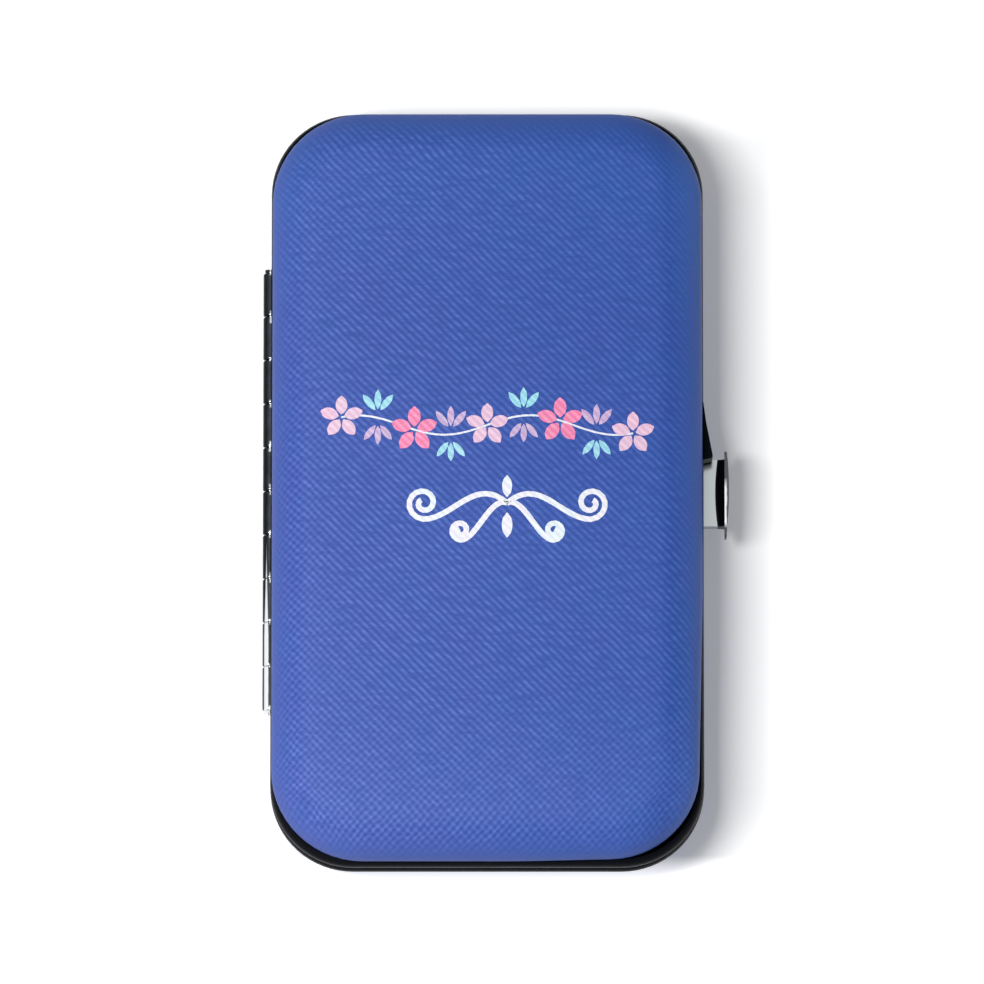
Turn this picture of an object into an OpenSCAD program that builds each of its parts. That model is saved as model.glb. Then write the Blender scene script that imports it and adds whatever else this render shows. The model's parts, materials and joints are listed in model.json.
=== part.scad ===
// Manicure set case: a padded clamshell on a crimped steel frame, with a piano
// hinge on its left side, a push-button clasp on its right side and a set of
// five steel tools held in elastic loops on the tray inside.
// Origin: centre of the flat face it rests on. +X to the clasp, +Y along the
// case to its far end, +Z up through the lid.

/* [Case] */
// Width across the frame, without hinge and clasp
case_w = 65.5; // [62:0.5:74]
// Length of the frame
case_l = 116.2; // [108:0.1:130]
// Corner radius of the frame in plan
corner_r = 12.5; // [12:0.5:17]
// Depth of the lower half, from its resting face to the seam
base_depth = 11; // [10.5:0.25:13]
// Depth of the upper half, from the seam to the top of its crown
lid_depth = 11.3; // [10.5:0.25:13]
// Gap between the two frames when shut
seam_gap = 0.2; // [0.1:0.05:0.3]
// Radius of the padded edge
edge_r = 6.8; // [5.5:0.1:7]
// Radius of the gentle crown of the lid
crown_r = 1100; // [1000:50:3000]

/* [Frame] */
// Height of each frame rim
rim_h = 3.3; // [3:0.1:3.8]
// Thickness of the outer, bead-shaped wall of the rim
rim_wall = 1.0; // [0.9:0.05:1.2]
// Thickness of the inner wall of the rim
rim_inner_wall = 0.6; // [0.5:0.05:0.8]
// Thickness of the web that joins the two walls at the seam
web_t = 0.6; // [0.5:0.05:0.7]
// Radius of the bead on the outer wall
bead_r = 3.0; // [2.6:0.1:5]

/* [Shell layers] */
// Thickness of the grained cover
skin_t = 0.8; // [0.6:0.05:1]
// How far the padded cover of the lid stays inside the outer face of the frame
skin_setback = 0.25; // [0.05:0.05:0.4]
// How far the padded cover of the base stays inside the outer face of the frame
base_setback = 0.7; // [0.2:0.05:0.9]
// How much rounder than the frame the padded corners are
skin_corner_extra = 1.5; // [0.6:0.1:2]
// Foam over the lid board at the middle of the crown
lid_foam_t = 2.0; // [2:0.1:2.4]
// Foam under the base board
base_foam_t = 1.0; // [0.8:0.1:1.4]
// Thickness of the formed boards
board_t = 1.2; // [1:0.1:1.4]
// Edge radius of the formed boards
board_edge_r = 5.5; // [5:0.1:6]
// Thickness of the lining
lining_t = 0.45; // [0.3:0.05:0.6]

/* [Hinge] */
// Length of the piano hinge
hinge_len = 67.6; // [60:0.2:74]
// Number of knuckles
knuckles = 10; // [6:2:14]
// Outside diameter of the hinge barrel
barrel_d = 2.2; // [2:0.05:2.3]
// Diameter of the hinge pin
pin_d = 1.2; // [1:0.05:1.3]
// Distance of the hinge axis outside the frame
axis_out = 0.15; // [0.1:0.05:0.3]
// Thickness of the hinge leaves
leaf_t = 0.4; // [0.3:0.05:0.4]

/* [Clasp] */
// Width of the button's stem along the case
stem_w = 10.3; // [9:0.1:11]
// Thickness of the stem
stem_t = 2.0; // [1.8:0.05:2]
// Length of the button's face plate along the case
face_l = 13.5; // [12:0.1:15]
// Height of the face plate
face_h = 6.0; // [5:0.1:6.2]
// Thickness of the face plate
face_t = 0.7; // [0.6:0.05:1]
// How far the face plate sits off the middle of the stem, to the near end
face_shift = 0.2; // [0:0.1:0.6]
// How far the face plate stands out of the frame
button_reach = 3.9; // [3.8:0.1:4.6]
// Travel of the button
button_travel = 1.5; // [1.3:0.1:1.6]
// Radius of the fillets between stem and face plate
stem_fillet_r = 1.4; // [0.8:0.1:1.4]
// Radius of the bow of those fillets in plan
fillet_bow_r = 38; // [30:1:80]
// Width of the catch tongue on the lid
tongue_w = 6.0; // [5:0.1:6.4]

/* [Tray] */
// Thickness of the foam under the tray board
tray_foam_t = 1.0; // [1:0.1:1.3]
// Thickness of the tray board
tray_board_t = 1.2; // [1:0.1:1.4]
// Thickness of the facing on the tray board
tray_facing_t = 0.4; // [0.3:0.05:0.5]
// Width of the elastic straps
strap_w = 9; // [7:0.5:11]
// Thickness of the elastic straps
strap_t = 0.6; // [0.5:0.05:0.7]
// Distance of each strap from the middle of the tray
strap_y = 18; // [15:0.5:19]
// Room between a tool and the loop that holds it
loop_room = 0.25; // [0.2:0.05:0.3]

/* [Tools] */
// Length of the toenail clipper
toe_l = 76; // [72:1:80]
// Width of the toenail clipper
toe_w = 13; // [12:0.1:13]
// Length of the nail clipper
nail_l = 58; // [55:1:62]
// Width of the nail clipper
nail_w = 10; // [9:0.1:10]
// Length of the tweezers
tweezers_l = 88; // [84:1:90]
// Width of the tweezers
tweezers_w = 8; // [7:0.1:8]
// Length of the nail file with its handle
file_l = 90; // [84:1:92]
// Width of the nail file
file_w = 6.5; // [6:0.1:6.5]
// Length of the cuticle pusher
pusher_l = 94; // [88:1:95]
// Diameter of the pusher's grip
pusher_d = 3.5; // [3:0.1:3.5]

/* [Hidden] */
$fn = 64;
eps = 0.01;

// Colours
cover_blue = [0.28, 0.38, 0.70];
frame_black = [0.06, 0.06, 0.07];
lining_black = [0.10, 0.10, 0.12];
board_grey = [0.55, 0.52, 0.48];
foam_white = [0.90, 0.89, 0.85];
chrome = [0.80, 0.81, 0.83];
steel = [0.70, 0.71, 0.73];
handle_black = [0.08, 0.08, 0.09];

// Seam and the two halves: each half is drawn with its seam face at height 0
// and its depth upwards, and the base is that half turned over.
seam_z = base_depth + seam_gap / 2;
half_w = case_w / 2;
half_l = case_l / 2;

// Insets from the outer face of the frame, through the layers in the channel
leaf_room = leaf_t + 0.05;
skin_in = rim_wall + leaf_room;
board_in = skin_in + skin_t;
lining_in = board_in + board_t;
cavity_in = lining_in + lining_t;
slip = 0.1;
inner_wall_in = cavity_in + slip;
channel_w = inner_wall_in + rim_inner_wall;
layer_foot = web_t + slip;

// Padded cover above the rim
bulge_foot = rim_h + 0.05;
bulge_under_r = 0.5;
crown_lift = 0.05;

// Heights of the board over the seam, at the lid and at the base
lid_board_top = lid_depth - skin_t - lid_foam_t;
base_board_top = base_depth - skin_t - base_foam_t;
floor_z = base_depth - (base_board_top - board_t - lining_t);

// Hinge
axis_x = -(half_w + axis_out);
barrel_r = barrel_d / 2;
pin_r = pin_d / 2;
bore_r = pin_r + 0.05;
knuckle_pitch = hinge_len / knuckles;
knuckle_gap = 0.12;
knuckle_round = 0.25;
tail_t = barrel_r - bore_r;
notch_in = skin_in + 0.05;
notch_h = barrel_r - seam_gap / 2 + 0.25;
notch_len = hinge_len + 1.4;
pin_head_r = 0.85;
pin_head_t = 0.4;

// Clasp, from the outer face of the frame inwards
x_wall = half_w - rim_wall;
x_cavity = half_w - channel_w;
stem_mid_z = base_depth - web_t - 0.25 - stem_t / 2;
face_in_x = half_w + button_reach - face_t;
window_room = 0.25;
window_w = stem_w + 2 * window_room;
shoulder_w = stem_w + 2.1;
shoulder_t = 0.8;
pocket_w = shoulder_w + 0.6;
tongue_t = 0.6;
tongue_gap = 0.35;
tongue_x = x_cavity - tongue_gap - tongue_t;
spring_t = 0.4;
spring_x = tongue_x - 0.45 - spring_t;
spring_flat = stem_w / 2 + 1.05;
spring_foot = spring_flat + 2.2;
spring_end = spring_foot + 3.3;
spring_h = stem_t + 0.9;
spring_z = stem_mid_z - spring_h / 2;
nose_w = 3.6;
nose_h = 1.1;
nose_reach = 0.9;
prong_end_x = spring_x + spring_t + 0.25;
prong_slot = tongue_w + 1.0;
eye_w = nose_w + 0.6;
eye_low = stem_mid_z - nose_h / 2 - 0.2;
eye_high = stem_mid_z + nose_h / 2 + 0.25;
tongue_low = eye_low - 0.9;
rivet_r = 0.5;
rivet_head_r = 0.9;
rivet_head_t = 0.4;
catch_rivet_y = 1.9;
rivet_z = stem_mid_z;
catch_rivet_z = seam_z + seam_gap / 2 + rim_h / 2 + 0.2;
guard_far_y = 13.2;
guard_near_y = 5.0;
guard_out = 1.4;

// Tray and tools
tray_in = channel_w + 0.6;
tray_foam_in = cavity_in + board_edge_r - board_t - lining_t + 0.25;
tray_board_z = floor_z + tray_foam_t;
tray_top_z = tray_board_z + tray_board_t + tray_facing_t;
tool_z = tray_top_z + 0.05;
loop_pitch = 2 * (loop_room + strap_t) + 0.5;
strap_left = -(half_w - tray_in) + 0.15;
toe_x = strap_left + strap_t + loop_room + toe_w / 2;
nail_x = toe_x + toe_w / 2 + loop_pitch + nail_w / 2;
tweezers_x = nail_x + nail_w / 2 + loop_pitch + tweezers_w / 2;
file_x = tweezers_x + tweezers_w / 2 + loop_pitch + file_w / 2;
pusher_x = file_x + file_w / 2 + loop_pitch + pusher_d / 2;
toe_arm_t = 1.5;
toe_gap = 3.0;
nail_arm_t = 1.25;
nail_gap = 2.6;
lever_t = 1.1;
lever_lift = 0.2;
toe_h = toe_gap + toe_arm_t + lever_lift + lever_t + 0.8;
nail_h = nail_gap + nail_arm_t + lever_lift + lever_t + 0.8;
arm_t = 1.0;
tweezers_gap = 3.2;
tweezers_h = 2 * arm_t + tweezers_gap;
file_t = 1.0;
file_handle_t = 2.8;

// ---------------------------------------------------------------- outlines

// Carries a profile round the case's rounded outline, set in by an inset. The
// profile's x is the distance outwards from the corner centres, its y height.
module ring_sweep(inset, extra_r = 0) {
    r = corner_r - inset + extra_r;
    for (k = [0:3]) {
        across = (k % 2 == 0 ? case_w : case_l) - 2 * inset;
        along = (k % 2 == 0 ? case_l : case_w) - 2 * inset;
        rotate([0, 0, 90 * k]) translate([across / 2 - r, along / 2 - r, 0]) {
            rotate_extrude(angle = 90) children();
            rotate([90, 0, 0]) linear_extrude(along - 2 * r) children();
        }
    }
}

// Profile of a padded slab: a small radius below, the edge radius above
module slab_profile(r, top_r, low_r, low, top) {
    translate([0, low + low_r]) square([r, top - top_r - low - low_r]);
    if (low_r > 0) {
        translate([0, low]) square([r - low_r, low_r]);
        intersection() {
            translate([r - low_r, low + low_r]) circle(low_r);
            translate([r - low_r, low]) square(low_r);
        }
    }
    if (top_r > 0) {
        translate([0, top - top_r]) square([r - top_r, top_r]);
        intersection() {
            translate([r - top_r, top - top_r]) circle(top_r);
            translate([r - top_r, top - top_r]) square(top_r);
        }
    }
}

// Solid slab with the case's outline, set in by an inset, between two heights
module slab(inset, low, top, top_r = 0, low_r = 0, extra_r = 0) {
    r = corner_r - inset + extra_r;
    ring_sweep(inset, extra_r) slab_profile(r, top_r, low_r, low, top);
    translate([-(half_w - inset - r), -(half_l - inset - r), low])
        cube([2 * (half_w - inset - r), 2 * (half_l - inset - r), top - low]);
}

// Rounded rectangle in plan, centred
module rounded_plan(w, l, r) {
    square([w - 2 * r, l], center = true);
    square([w, l - 2 * r], center = true);
    for (x = [-1, 1], y = [-1, 1])
        translate([x * (w / 2 - r), y * (l / 2 - r)]) circle(r);
}

// Places a half: the lid stands on the seam, the base hangs from it
module on_lid() { translate([0, 0, seam_z + seam_gap / 2]) children(); }
module on_base() { translate([0, 0, seam_z - seam_gap / 2]) mirror([0, 0, 1]) children(); }

// Crown of the lid, set in by the thickness already passed: shallow rings that
// follow a large sphere
module crown(depth, passed) {
    reach = 0.6 * case_l;
    rings = 8;
    r = crown_r - passed;
    rotate_extrude() polygon(concat(
        [[0, 0], [reach, 0]],
        [for (k = [rings:-1:0]) let (x = reach * k / rings) [x, depth - crown_r + sqrt(r * r - x * x)]]
    ));
}

// ------------------------------------------------------- layers of one half

module padded_slab(depth, passed, setback) {
    slab(setback + passed, bulge_foot + passed, depth - passed,
         edge_r - passed, max(bulge_under_r - passed, 0), skin_corner_extra);
}

// Outer or inner boundary of the padded cover above the rim
module bulge(depth, passed, crowned) {
    if (crowned) intersection() {
        padded_slab(depth + crown_lift, passed, skin_setback);
        crown(depth, passed);
    }
    else padded_slab(depth, passed, base_setback);
}

module cover_half(depth, crowned) {
    difference() {
        union() {
            bulge(depth, 0, crowned);
            slab(skin_in, layer_foot, bulge_foot + skin_t / 2);
        }
        bulge(depth, skin_t, crowned);
        slab(board_in, layer_foot - 1, bulge_foot + skin_t + 1);
    }
}

module padding_half(depth, board_top, crowned) {
    difference() {
        bulge(depth, skin_t, crowned);
        slab(board_in, layer_foot, board_top, board_edge_r);
    }
}

module board_half(board_top) {
    difference() {
        slab(board_in, layer_foot, board_top, board_edge_r);
        slab(lining_in, layer_foot - 1, board_top - board_t, board_edge_r - board_t);
    }
}

module lining_half(board_top) {
    passed = board_t + lining_t;
    difference() {
        slab(lining_in, layer_foot, board_top - board_t, board_edge_r - board_t);
        slab(cavity_in, layer_foot - 1, board_top - passed, board_edge_r - passed);
    }
}

// Crimped channel: bead-shaped outer wall, web at the seam, inner wall
module channel() {
    ring_sweep(0) {
        intersection() {
            translate([corner_r - bead_r, rim_h / 2]) circle(bead_r);
            translate([corner_r - rim_wall, 0]) square([rim_wall, rim_h]);
        }
        translate([corner_r - channel_w, 0]) square([channel_w - rim_wall / 2, web_t]);
        translate([corner_r - channel_w, 0]) square([rim_inner_wall, rim_h]);
    }
}

// Room for the hinge barrel and the tails of its knuckles
module hinge_notch() {
    translate([-half_w - 1, -notch_len / 2, -1]) cube([1 + notch_in, notch_len, 1 + notch_h]);
}

// Room for the button in the layers of the base, drawn with the base's seam up
module clasp_pocket() {
    translate([x_cavity - 1, -pocket_w / 2, -1]) cube([channel_w + 2, pocket_w, 1 + rim_h]);
}

// --------------------------------------------------------------- lower half

module base_cover() {
    color(cover_blue) on_base() difference() {
        cover_half(base_depth, false);
        clasp_pocket();
    }
}

module base_padding() {
    color(foam_white) on_base() padding_half(base_depth, base_board_top, false);
}

module base_board() {
    color(board_grey) on_base() difference() {
        board_half(base_board_top);
        clasp_pocket();
    }
}

module base_lining() {
    color(lining_black) on_base() difference() {
        lining_half(base_board_top);
        clasp_pocket();
    }
}

module base_frame() {
    color(frame_black) difference() {
        on_base() difference() {
            channel();
            hinge_notch();
        }
        // Window for the stem and its prongs, through both walls
        translate([x_cavity - 1, -window_w / 2, stem_mid_z - stem_t / 2 - window_room])
            cube([channel_w + 3, window_w, stem_t + 2 * window_room]);
        // Holes for the rivets of the spring
        for (side = [-1, 1]) along_x(x_cavity - 1, side * (spring_foot + spring_end) / 2, rivet_z)
            cylinder(r = rivet_r, h = rim_inner_wall + 2);
    }
}

// Stands a cylinder's axis along +X, starting at the given point
module along_x(x, y, z) { translate([x, y, z]) rotate([0, 90, 0]) children(); }

// --------------------------------------------------------------- upper half

module lid_cover() { color(cover_blue) on_lid() cover_half(lid_depth, true); }

module lid_padding() { color(foam_white) on_lid() padding_half(lid_depth, lid_board_top, true); }

module lid_board() { color(board_grey) on_lid() board_half(lid_board_top); }

module lid_lining() { color(lining_black) on_lid() lining_half(lid_board_top); }

// Flared guard that shields the corner of the button
module button_guard() {
    translate([0, 0, 0.1]) linear_extrude(rim_h - 0.3) polygon([
        [half_w - rim_wall / 2, guard_far_y],
        [half_w, guard_far_y],
        [half_w + 0.3 * guard_out, guard_near_y + 0.62 * (guard_far_y - guard_near_y)],
        [half_w + guard_out, guard_near_y],
        [half_w + guard_out - 0.1, guard_near_y - 0.35],
        [half_w - rim_wall / 2, guard_near_y - 0.8]
    ]);
}

module lid_frame() {
    color(frame_black) difference() {
        on_lid() difference() {
            union() {
                channel();
                button_guard();
            }
            hinge_notch();
        }
        // Holes for the rivets of the catch plate
        for (side = [-1, 1]) along_x(x_cavity - 1, side * catch_rivet_y, catch_rivet_z)
            cylinder(r = rivet_r, h = rim_inner_wall + 2);
    }
}

// ------------------------------------------------------------------- hinge

// One rolled knuckle with softened ends, centred on the hinge axis
module knuckle(y, length) {
    translate([axis_x, y + length / 2, seam_z]) rotate([90, 0, 0]) rotate_extrude() difference() {
        translate([bore_r, 0]) square([barrel_r - bore_r, length]);
        for (at_end = [0, 1]) translate([barrel_r - knuckle_round, at_end * length]) difference() {
            translate([0, -knuckle_round]) square([1, 2 * knuckle_round]);
            translate([0, (at_end == 0 ? 1 : -1) * knuckle_round]) circle(knuckle_round);
        }
    }
}

// Leaf with every second knuckle, drawn for a half that stands on the seam
module hinge_leaf(first) {
    translate([-half_w + rim_wall + 0.05, -hinge_len / 2, barrel_r - tail_t - seam_gap / 2])
        cube([leaf_t, hinge_len, rim_h - 0.1 - barrel_r + tail_t + seam_gap / 2]);
    for (k = [first:2:knuckles - 1]) {
        y = hinge_len / 2 - (k + 1) * knuckle_pitch + knuckle_gap / 2;
        translate([axis_x, y, barrel_r - tail_t - seam_gap / 2]) difference() {
            cube([-half_w + rim_wall + 0.05 + leaf_t - axis_x, knuckle_pitch - knuckle_gap, tail_t]);
            translate([0, -1, -(barrel_r - tail_t)]) rotate([-90, 0, 0])
                cylinder(r = (bore_r + barrel_r) / 2, h = knuckle_pitch + 2);
        }
    }
}

module knuckle_row(first) {
    for (k = [first:2:knuckles - 1])
        knuckle(hinge_len / 2 - (k + 0.5) * knuckle_pitch, knuckle_pitch - knuckle_gap);
}

module base_hinge_leaf() {
    color(chrome) {
        on_base() hinge_leaf(0);
        knuckle_row(0);
    }
}

module lid_hinge_leaf() {
    color(chrome) {
        on_lid() hinge_leaf(1);
        knuckle_row(1);
    }
}

module hinge_pin() {
    color(steel) translate([axis_x, 0, seam_z]) rotate([90, 0, 0]) {
        cylinder(r = pin_r, h = hinge_len + 0.2, center = true);
        for (side = [-1, 1]) translate([0, 0, side * (hinge_len / 2 + 0.1 + pin_head_t / 2)])
            cylinder(r = pin_head_r, h = pin_head_t, center = true);
    }
}

// ------------------------------------------------------------------- clasp

// Fillets above and below the stem that rise to the face plate, bowed in plan
module stem_fillets() {
    high = stem_t / 2 + stem_fillet_r;
    intersection() {
        translate([face_in_x - stem_fillet_r + fillet_bow_r, 0, stem_mid_z]) rotate_extrude($fn = 360)
            difference() {
                translate([fillet_bow_r - 3 * stem_fillet_r, -high]) square([3 * stem_fillet_r, 2 * high]);
                for (side = [-1, 1]) translate([fillet_bow_r, side * high]) circle(stem_fillet_r);
            }
        translate([face_in_x - 2 * stem_fillet_r, -stem_w / 2, stem_mid_z - high])
            cube([2 * stem_fillet_r, stem_w, 2 * high]);
    }
}

// Stem with shoulders in the channel and two prongs that reach the spring
module button_stem() {
    low = stem_mid_z - stem_t / 2;
    color(chrome) difference() {
        union() {
            translate([prong_end_x, -stem_w / 2, low])
                cube([face_in_x - prong_end_x, stem_w, stem_t]);
            translate([x_wall - 0.25 - shoulder_t, -shoulder_w / 2, low])
                cube([shoulder_t, shoulder_w, stem_t]);
            stem_fillets();
        }
        // Gap between the prongs, where the lid's tongue passes
        translate([0, -prong_slot / 2, low - 1])
            cube([x_wall - 0.25 - shoulder_t - 0.6, prong_slot, stem_t + 2]);
    }
}

// Oval thumb plate, slightly crowned outwards
module button_face() {
    crown_face_r = 60;
    color(chrome) intersection() {
        translate([face_in_x, -face_shift, stem_mid_z]) rotate([90, 0, 90])
            linear_extrude(face_t) rounded_plan(face_l, face_h, face_h / 2 - 0.3);
        translate([face_in_x + face_t - crown_face_r, -face_shift, stem_mid_z])
            cylinder(r = crown_face_r, h = 2 * face_h, center = true, $fn = 400);
    }
}

// Hat-shaped leaf spring with the nose that holds the lid's tongue
module latch_spring() {
    back = x_cavity - spring_t;
    color(steel) {
        difference() {
            translate([0, 0, spring_z]) linear_extrude(spring_h) polygon([
                [back, spring_end], [x_cavity, spring_end],
                [x_cavity, spring_foot], [spring_x + spring_t, spring_flat],
                [spring_x + spring_t, -spring_flat], [x_cavity, -spring_foot],
                [x_cavity, -spring_end], [back, -spring_end],
                [back, -spring_foot], [spring_x, -spring_flat],
                [spring_x, spring_flat], [back, spring_foot]
            ]);
            for (side = [-1, 1]) along_x(back - 1, side * (spring_foot + spring_end) / 2, rivet_z)
                cylinder(r = rivet_r, h = spring_t + 2);
        }
        // Nose: flat below, where it holds, and sloped above, where the lid closes
        translate([spring_x + spring_t, nose_w / 2, stem_mid_z - nose_h / 2]) rotate([90, 0, 0])
            linear_extrude(nose_w) polygon([[0, 0], [nose_reach, 0], [nose_reach, 0.3], [0, nose_h]]);
    }
}

// A row of two rivets through the inner wall of a rim and a plate on it
module rivet_pair(plate_x, y, z) {
    for (side = [-1, 1]) {
        along_x(plate_x - rivet_head_t, side * y, z) cylinder(r = rivet_head_r, h = rivet_head_t);
        along_x(plate_x - eps, side * y, z)
            cylinder(r = rivet_r - 0.02, h = x_cavity + rim_inner_wall - plate_x);
    }
}

module latch_rivets() {
    color(steel) rivet_pair(x_cavity - spring_t, (spring_foot + spring_end) / 2, rivet_z);
}

// Tongue on the lid, with the eye that the spring's nose enters
module catch_plate() {
    pad_z = seam_z + seam_gap / 2 + 0.3;
    color(chrome) difference() {
        union() {
            translate([tongue_x, -tongue_w / 2, tongue_low])
                cube([tongue_t, tongue_w, pad_z + rim_h - 0.5 - tongue_low]);
            translate([tongue_x, -tongue_w / 2, pad_z])
                cube([x_cavity - tongue_x, tongue_w, rim_h - 0.5]);
        }
        translate([tongue_x - 1, -eye_w / 2, eye_low]) cube([tongue_t + 2, eye_w, eye_high - eye_low]);
        for (side = [-1, 1]) along_x(tongue_x - 1, side * catch_rivet_y, catch_rivet_z)
            cylinder(r = rivet_r, h = x_cavity - tongue_x + 2);
    }
}

module catch_rivets() { color(steel) rivet_pair(tongue_x, catch_rivet_y, catch_rivet_z); }

// -------------------------------------------------------------------- tray

// Flat plate with the case's outline, set in by an inset
module plate(inset, z, t) {
    translate([0, 0, z]) linear_extrude(t)
        rounded_plan(case_w - 2 * inset, case_l - 2 * inset, max(corner_r - inset, 3));
}

module tray_foam() { color(foam_white) plate(tray_foam_in, floor_z, tray_foam_t); }

module tray_board() { color(board_grey) plate(tray_in, tray_board_z, tray_board_t); }

module tray_facing() {
    color(lining_black) plate(tray_in, tray_board_z + tray_board_t, tray_facing_t);
}

// Arch of the strap over one tool: a rounded top on straight sides
module loop_arch(x, w, h, r) {
    translate([x - w / 2, 0]) square([w, h - r]);
    translate([x - w / 2 + r, 0]) square([w - 2 * r, h]);
    for (side = [-1, 1]) translate([x + side * (w / 2 - r), h - r]) circle(r);
}

// Place, width and height of every tool that a strap holds
tools = [
    [toe_x, toe_w, toe_h], [nail_x, nail_w, nail_h],
    [tweezers_x, tweezers_w, tweezers_h],
    [file_x, file_w, file_handle_t], [pusher_x, pusher_d, pusher_d]
];

module strap(y) {
    inner_r = 0.9;
    right = pusher_x + pusher_d / 2 + loop_room + strap_t;
    color(lining_black) translate([0, y + strap_w / 2, tray_top_z]) rotate([90, 0, 0])
        linear_extrude(strap_w) difference() {
            union() {
                translate([strap_left, 0]) square([right - strap_left, strap_t]);
                for (t = tools)
                    loop_arch(t[0], t[1] + 2 * (loop_room + strap_t), t[2] + 0.05 + loop_room + strap_t,
                              inner_r + strap_t);
            }
            for (t = tools) translate([0, -eps])
                loop_arch(t[0], t[1] + 2 * loop_room, t[2] + 0.05 + loop_room + eps, inner_r);
        }
}

module strap_far() { strap(strap_y); }
module strap_near() { strap(-strap_y); }

// ---------------------------------------------------------------- clippers

// Plan of a clipper arm: round tail, straight sides, curved cutting end
module arm_plan(l, w, tip_r) {
    translate([0, -l / 2 + w / 2]) circle(w / 2);
    translate([-w / 2, -l / 2 + w / 2]) square([w, l - w / 2 - w * 0.45]);
    intersection() {
        translate([-w / 2, l / 2 - w]) square([w, w]);
        translate([0, l / 2 - tip_r]) circle(tip_r);
    }
}

// A side view, given as y and height, carried across the width and trimmed
// to a plan
module trimmed_strip(w, x, side_points) {
    intersection() {
        translate([x - w, 0, tool_z]) rotate([90, 0, 90]) linear_extrude(2 * w) polygon(side_points);
        translate([x, 0, tool_z - 1]) linear_extrude(30) children();
    }
}

function pin_y(l, w) = l / 2 - w * 0.95;
function pin_radius(w) = w * 0.1 + 0.15;

module clipper_pin_hole(x, l, w, room) {
    translate([x, pin_y(l, w), tool_z - 1]) cylinder(r = pin_radius(w) + room, h = 30);
}

module clipper_lower_arm(x, l, w, t, gap) {
    meet = (gap + t) / 2 - 0.08;
    color(steel) difference() {
        trimmed_strip(w, x, [
            [-l / 2, 0], [l / 2 - 8, 0], [l / 2 - 2.4, 0.5], [l / 2, meet - 0.22], [l / 2, meet],
            [l / 2 - 0.6, meet], [l / 2 - 3.4, t + 0.2], [l / 2 - 8.5, t], [-l / 2, t]
        ]) arm_plan(l, w, w * 0.8);
        clipper_pin_hole(x, l, w, 0.2);
    }
}

module clipper_upper_arm(x, l, w, t, gap) {
    meet = (gap + t) / 2 + 0.08;
    top = gap + t;
    color(steel) difference() {
        trimmed_strip(w, x, [
            [-l / 2, t], [-l / 2 + 9, t], [l / 2 - 16, gap], [l / 2 - 8.5, gap],
            [l / 2 - 3.4, gap - 0.2], [l / 2 - 0.6, meet], [l / 2, meet], [l / 2, meet + 0.22],
            [l / 2 - 2.4, top - 0.5], [l / 2 - 8, top], [l / 2 - 16, top],
            [-l / 2 + 8.6, 2 * t], [-l / 2, 2 * t]
        ]) arm_plan(l, w, w * 0.8);
        clipper_pin_hole(x, l, w, 0.2);
    }
}

// Folded lever: saddle over the pin, thumb end turned up at the tail
module clipper_lever(x, l, w, t, gap) {
    top = gap + t + lever_lift;
    y = pin_y(l, w);
    color(chrome) difference() {
        trimmed_strip(w, x, [
            [-l / 2 + 2, top - 0.2], [-l / 2 + 7, top - 0.9], [y - 8, top], [y + 4.2, top],
            [y + 4.2, top + lever_t], [y - 8, top + lever_t],
            [-l / 2 + 7, top - 0.9 + lever_t], [-l / 2 + 2, top - 0.2 + lever_t]
        ]) {
            translate([0, -l / 2 + 2 + w * 0.38]) circle(w * 0.38);
            polygon([
                [-w * 0.38, -l / 2 + 2 + w * 0.38], [w * 0.38, -l / 2 + 2 + w * 0.38],
                [w * 0.42, y], [-w * 0.42, y]
            ]);
            translate([0, y]) circle(w * 0.42);
        }
        clipper_pin_hole(x, l, w, 0.2);
    }
}

module clipper_pin(x, l, w, t, gap) {
    top = gap + t + lever_lift + lever_t;
    color(chrome) translate([x, pin_y(l, w), tool_z]) {
        cylinder(r = pin_radius(w), h = top + 0.1);
        translate([0, 0, top + 0.1]) cylinder(r = pin_radius(w) + 0.7, h = 0.7);
    }
}

module toenail_clipper_lower_arm() { clipper_lower_arm(toe_x, toe_l, toe_w, toe_arm_t, toe_gap); }
module toenail_clipper_upper_arm() { clipper_upper_arm(toe_x, toe_l, toe_w, toe_arm_t, toe_gap); }
module toenail_clipper_lever() { clipper_lever(toe_x, toe_l, toe_w, toe_arm_t, toe_gap); }
module toenail_clipper_pin() { clipper_pin(toe_x, toe_l, toe_w, toe_arm_t, toe_gap); }
module nail_clipper_lower_arm() { clipper_lower_arm(nail_x, nail_l, nail_w, nail_arm_t, nail_gap); }
module nail_clipper_upper_arm() { clipper_upper_arm(nail_x, nail_l, nail_w, nail_arm_t, nail_gap); }
module nail_clipper_lever() { clipper_lever(nail_x, nail_l, nail_w, nail_arm_t, nail_gap); }
module nail_clipper_pin() { clipper_pin(nail_x, nail_l, nail_w, nail_arm_t, nail_gap); }

// ------------------------------------------------------------- other tools

// Plan of a tweezer arm: round tail, widest at the grip, narrow straight tip
module tweezer_plan() {
    translate([0, -tweezers_l / 2 + tweezers_w / 2 - 1]) circle(tweezers_w / 2 - 1);
    polygon([
        [-tweezers_w / 2 + 1, -tweezers_l / 2 + tweezers_w / 2 - 1],
        [tweezers_w / 2 - 1, -tweezers_l / 2 + tweezers_w / 2 - 1],
        [tweezers_w / 2, -6], [tweezers_w / 2, 6], [1.4, tweezers_l / 2],
        [-1.0, tweezers_l / 2 - 1], [-tweezers_w / 2, 6], [-tweezers_w / 2, -6]
    ]);
}

module tweezers_lower_arm() {
    color(steel) trimmed_strip(tweezers_w, tweezers_x, [
        [-tweezers_l / 2, 0], [tweezers_l / 2 - 5, 0], [tweezers_l / 2, 0.9],
        [tweezers_l / 2, 1.4], [tweezers_l / 2 - 5.5, arm_t], [-tweezers_l / 2, arm_t]
    ]) tweezer_plan();
}

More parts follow.
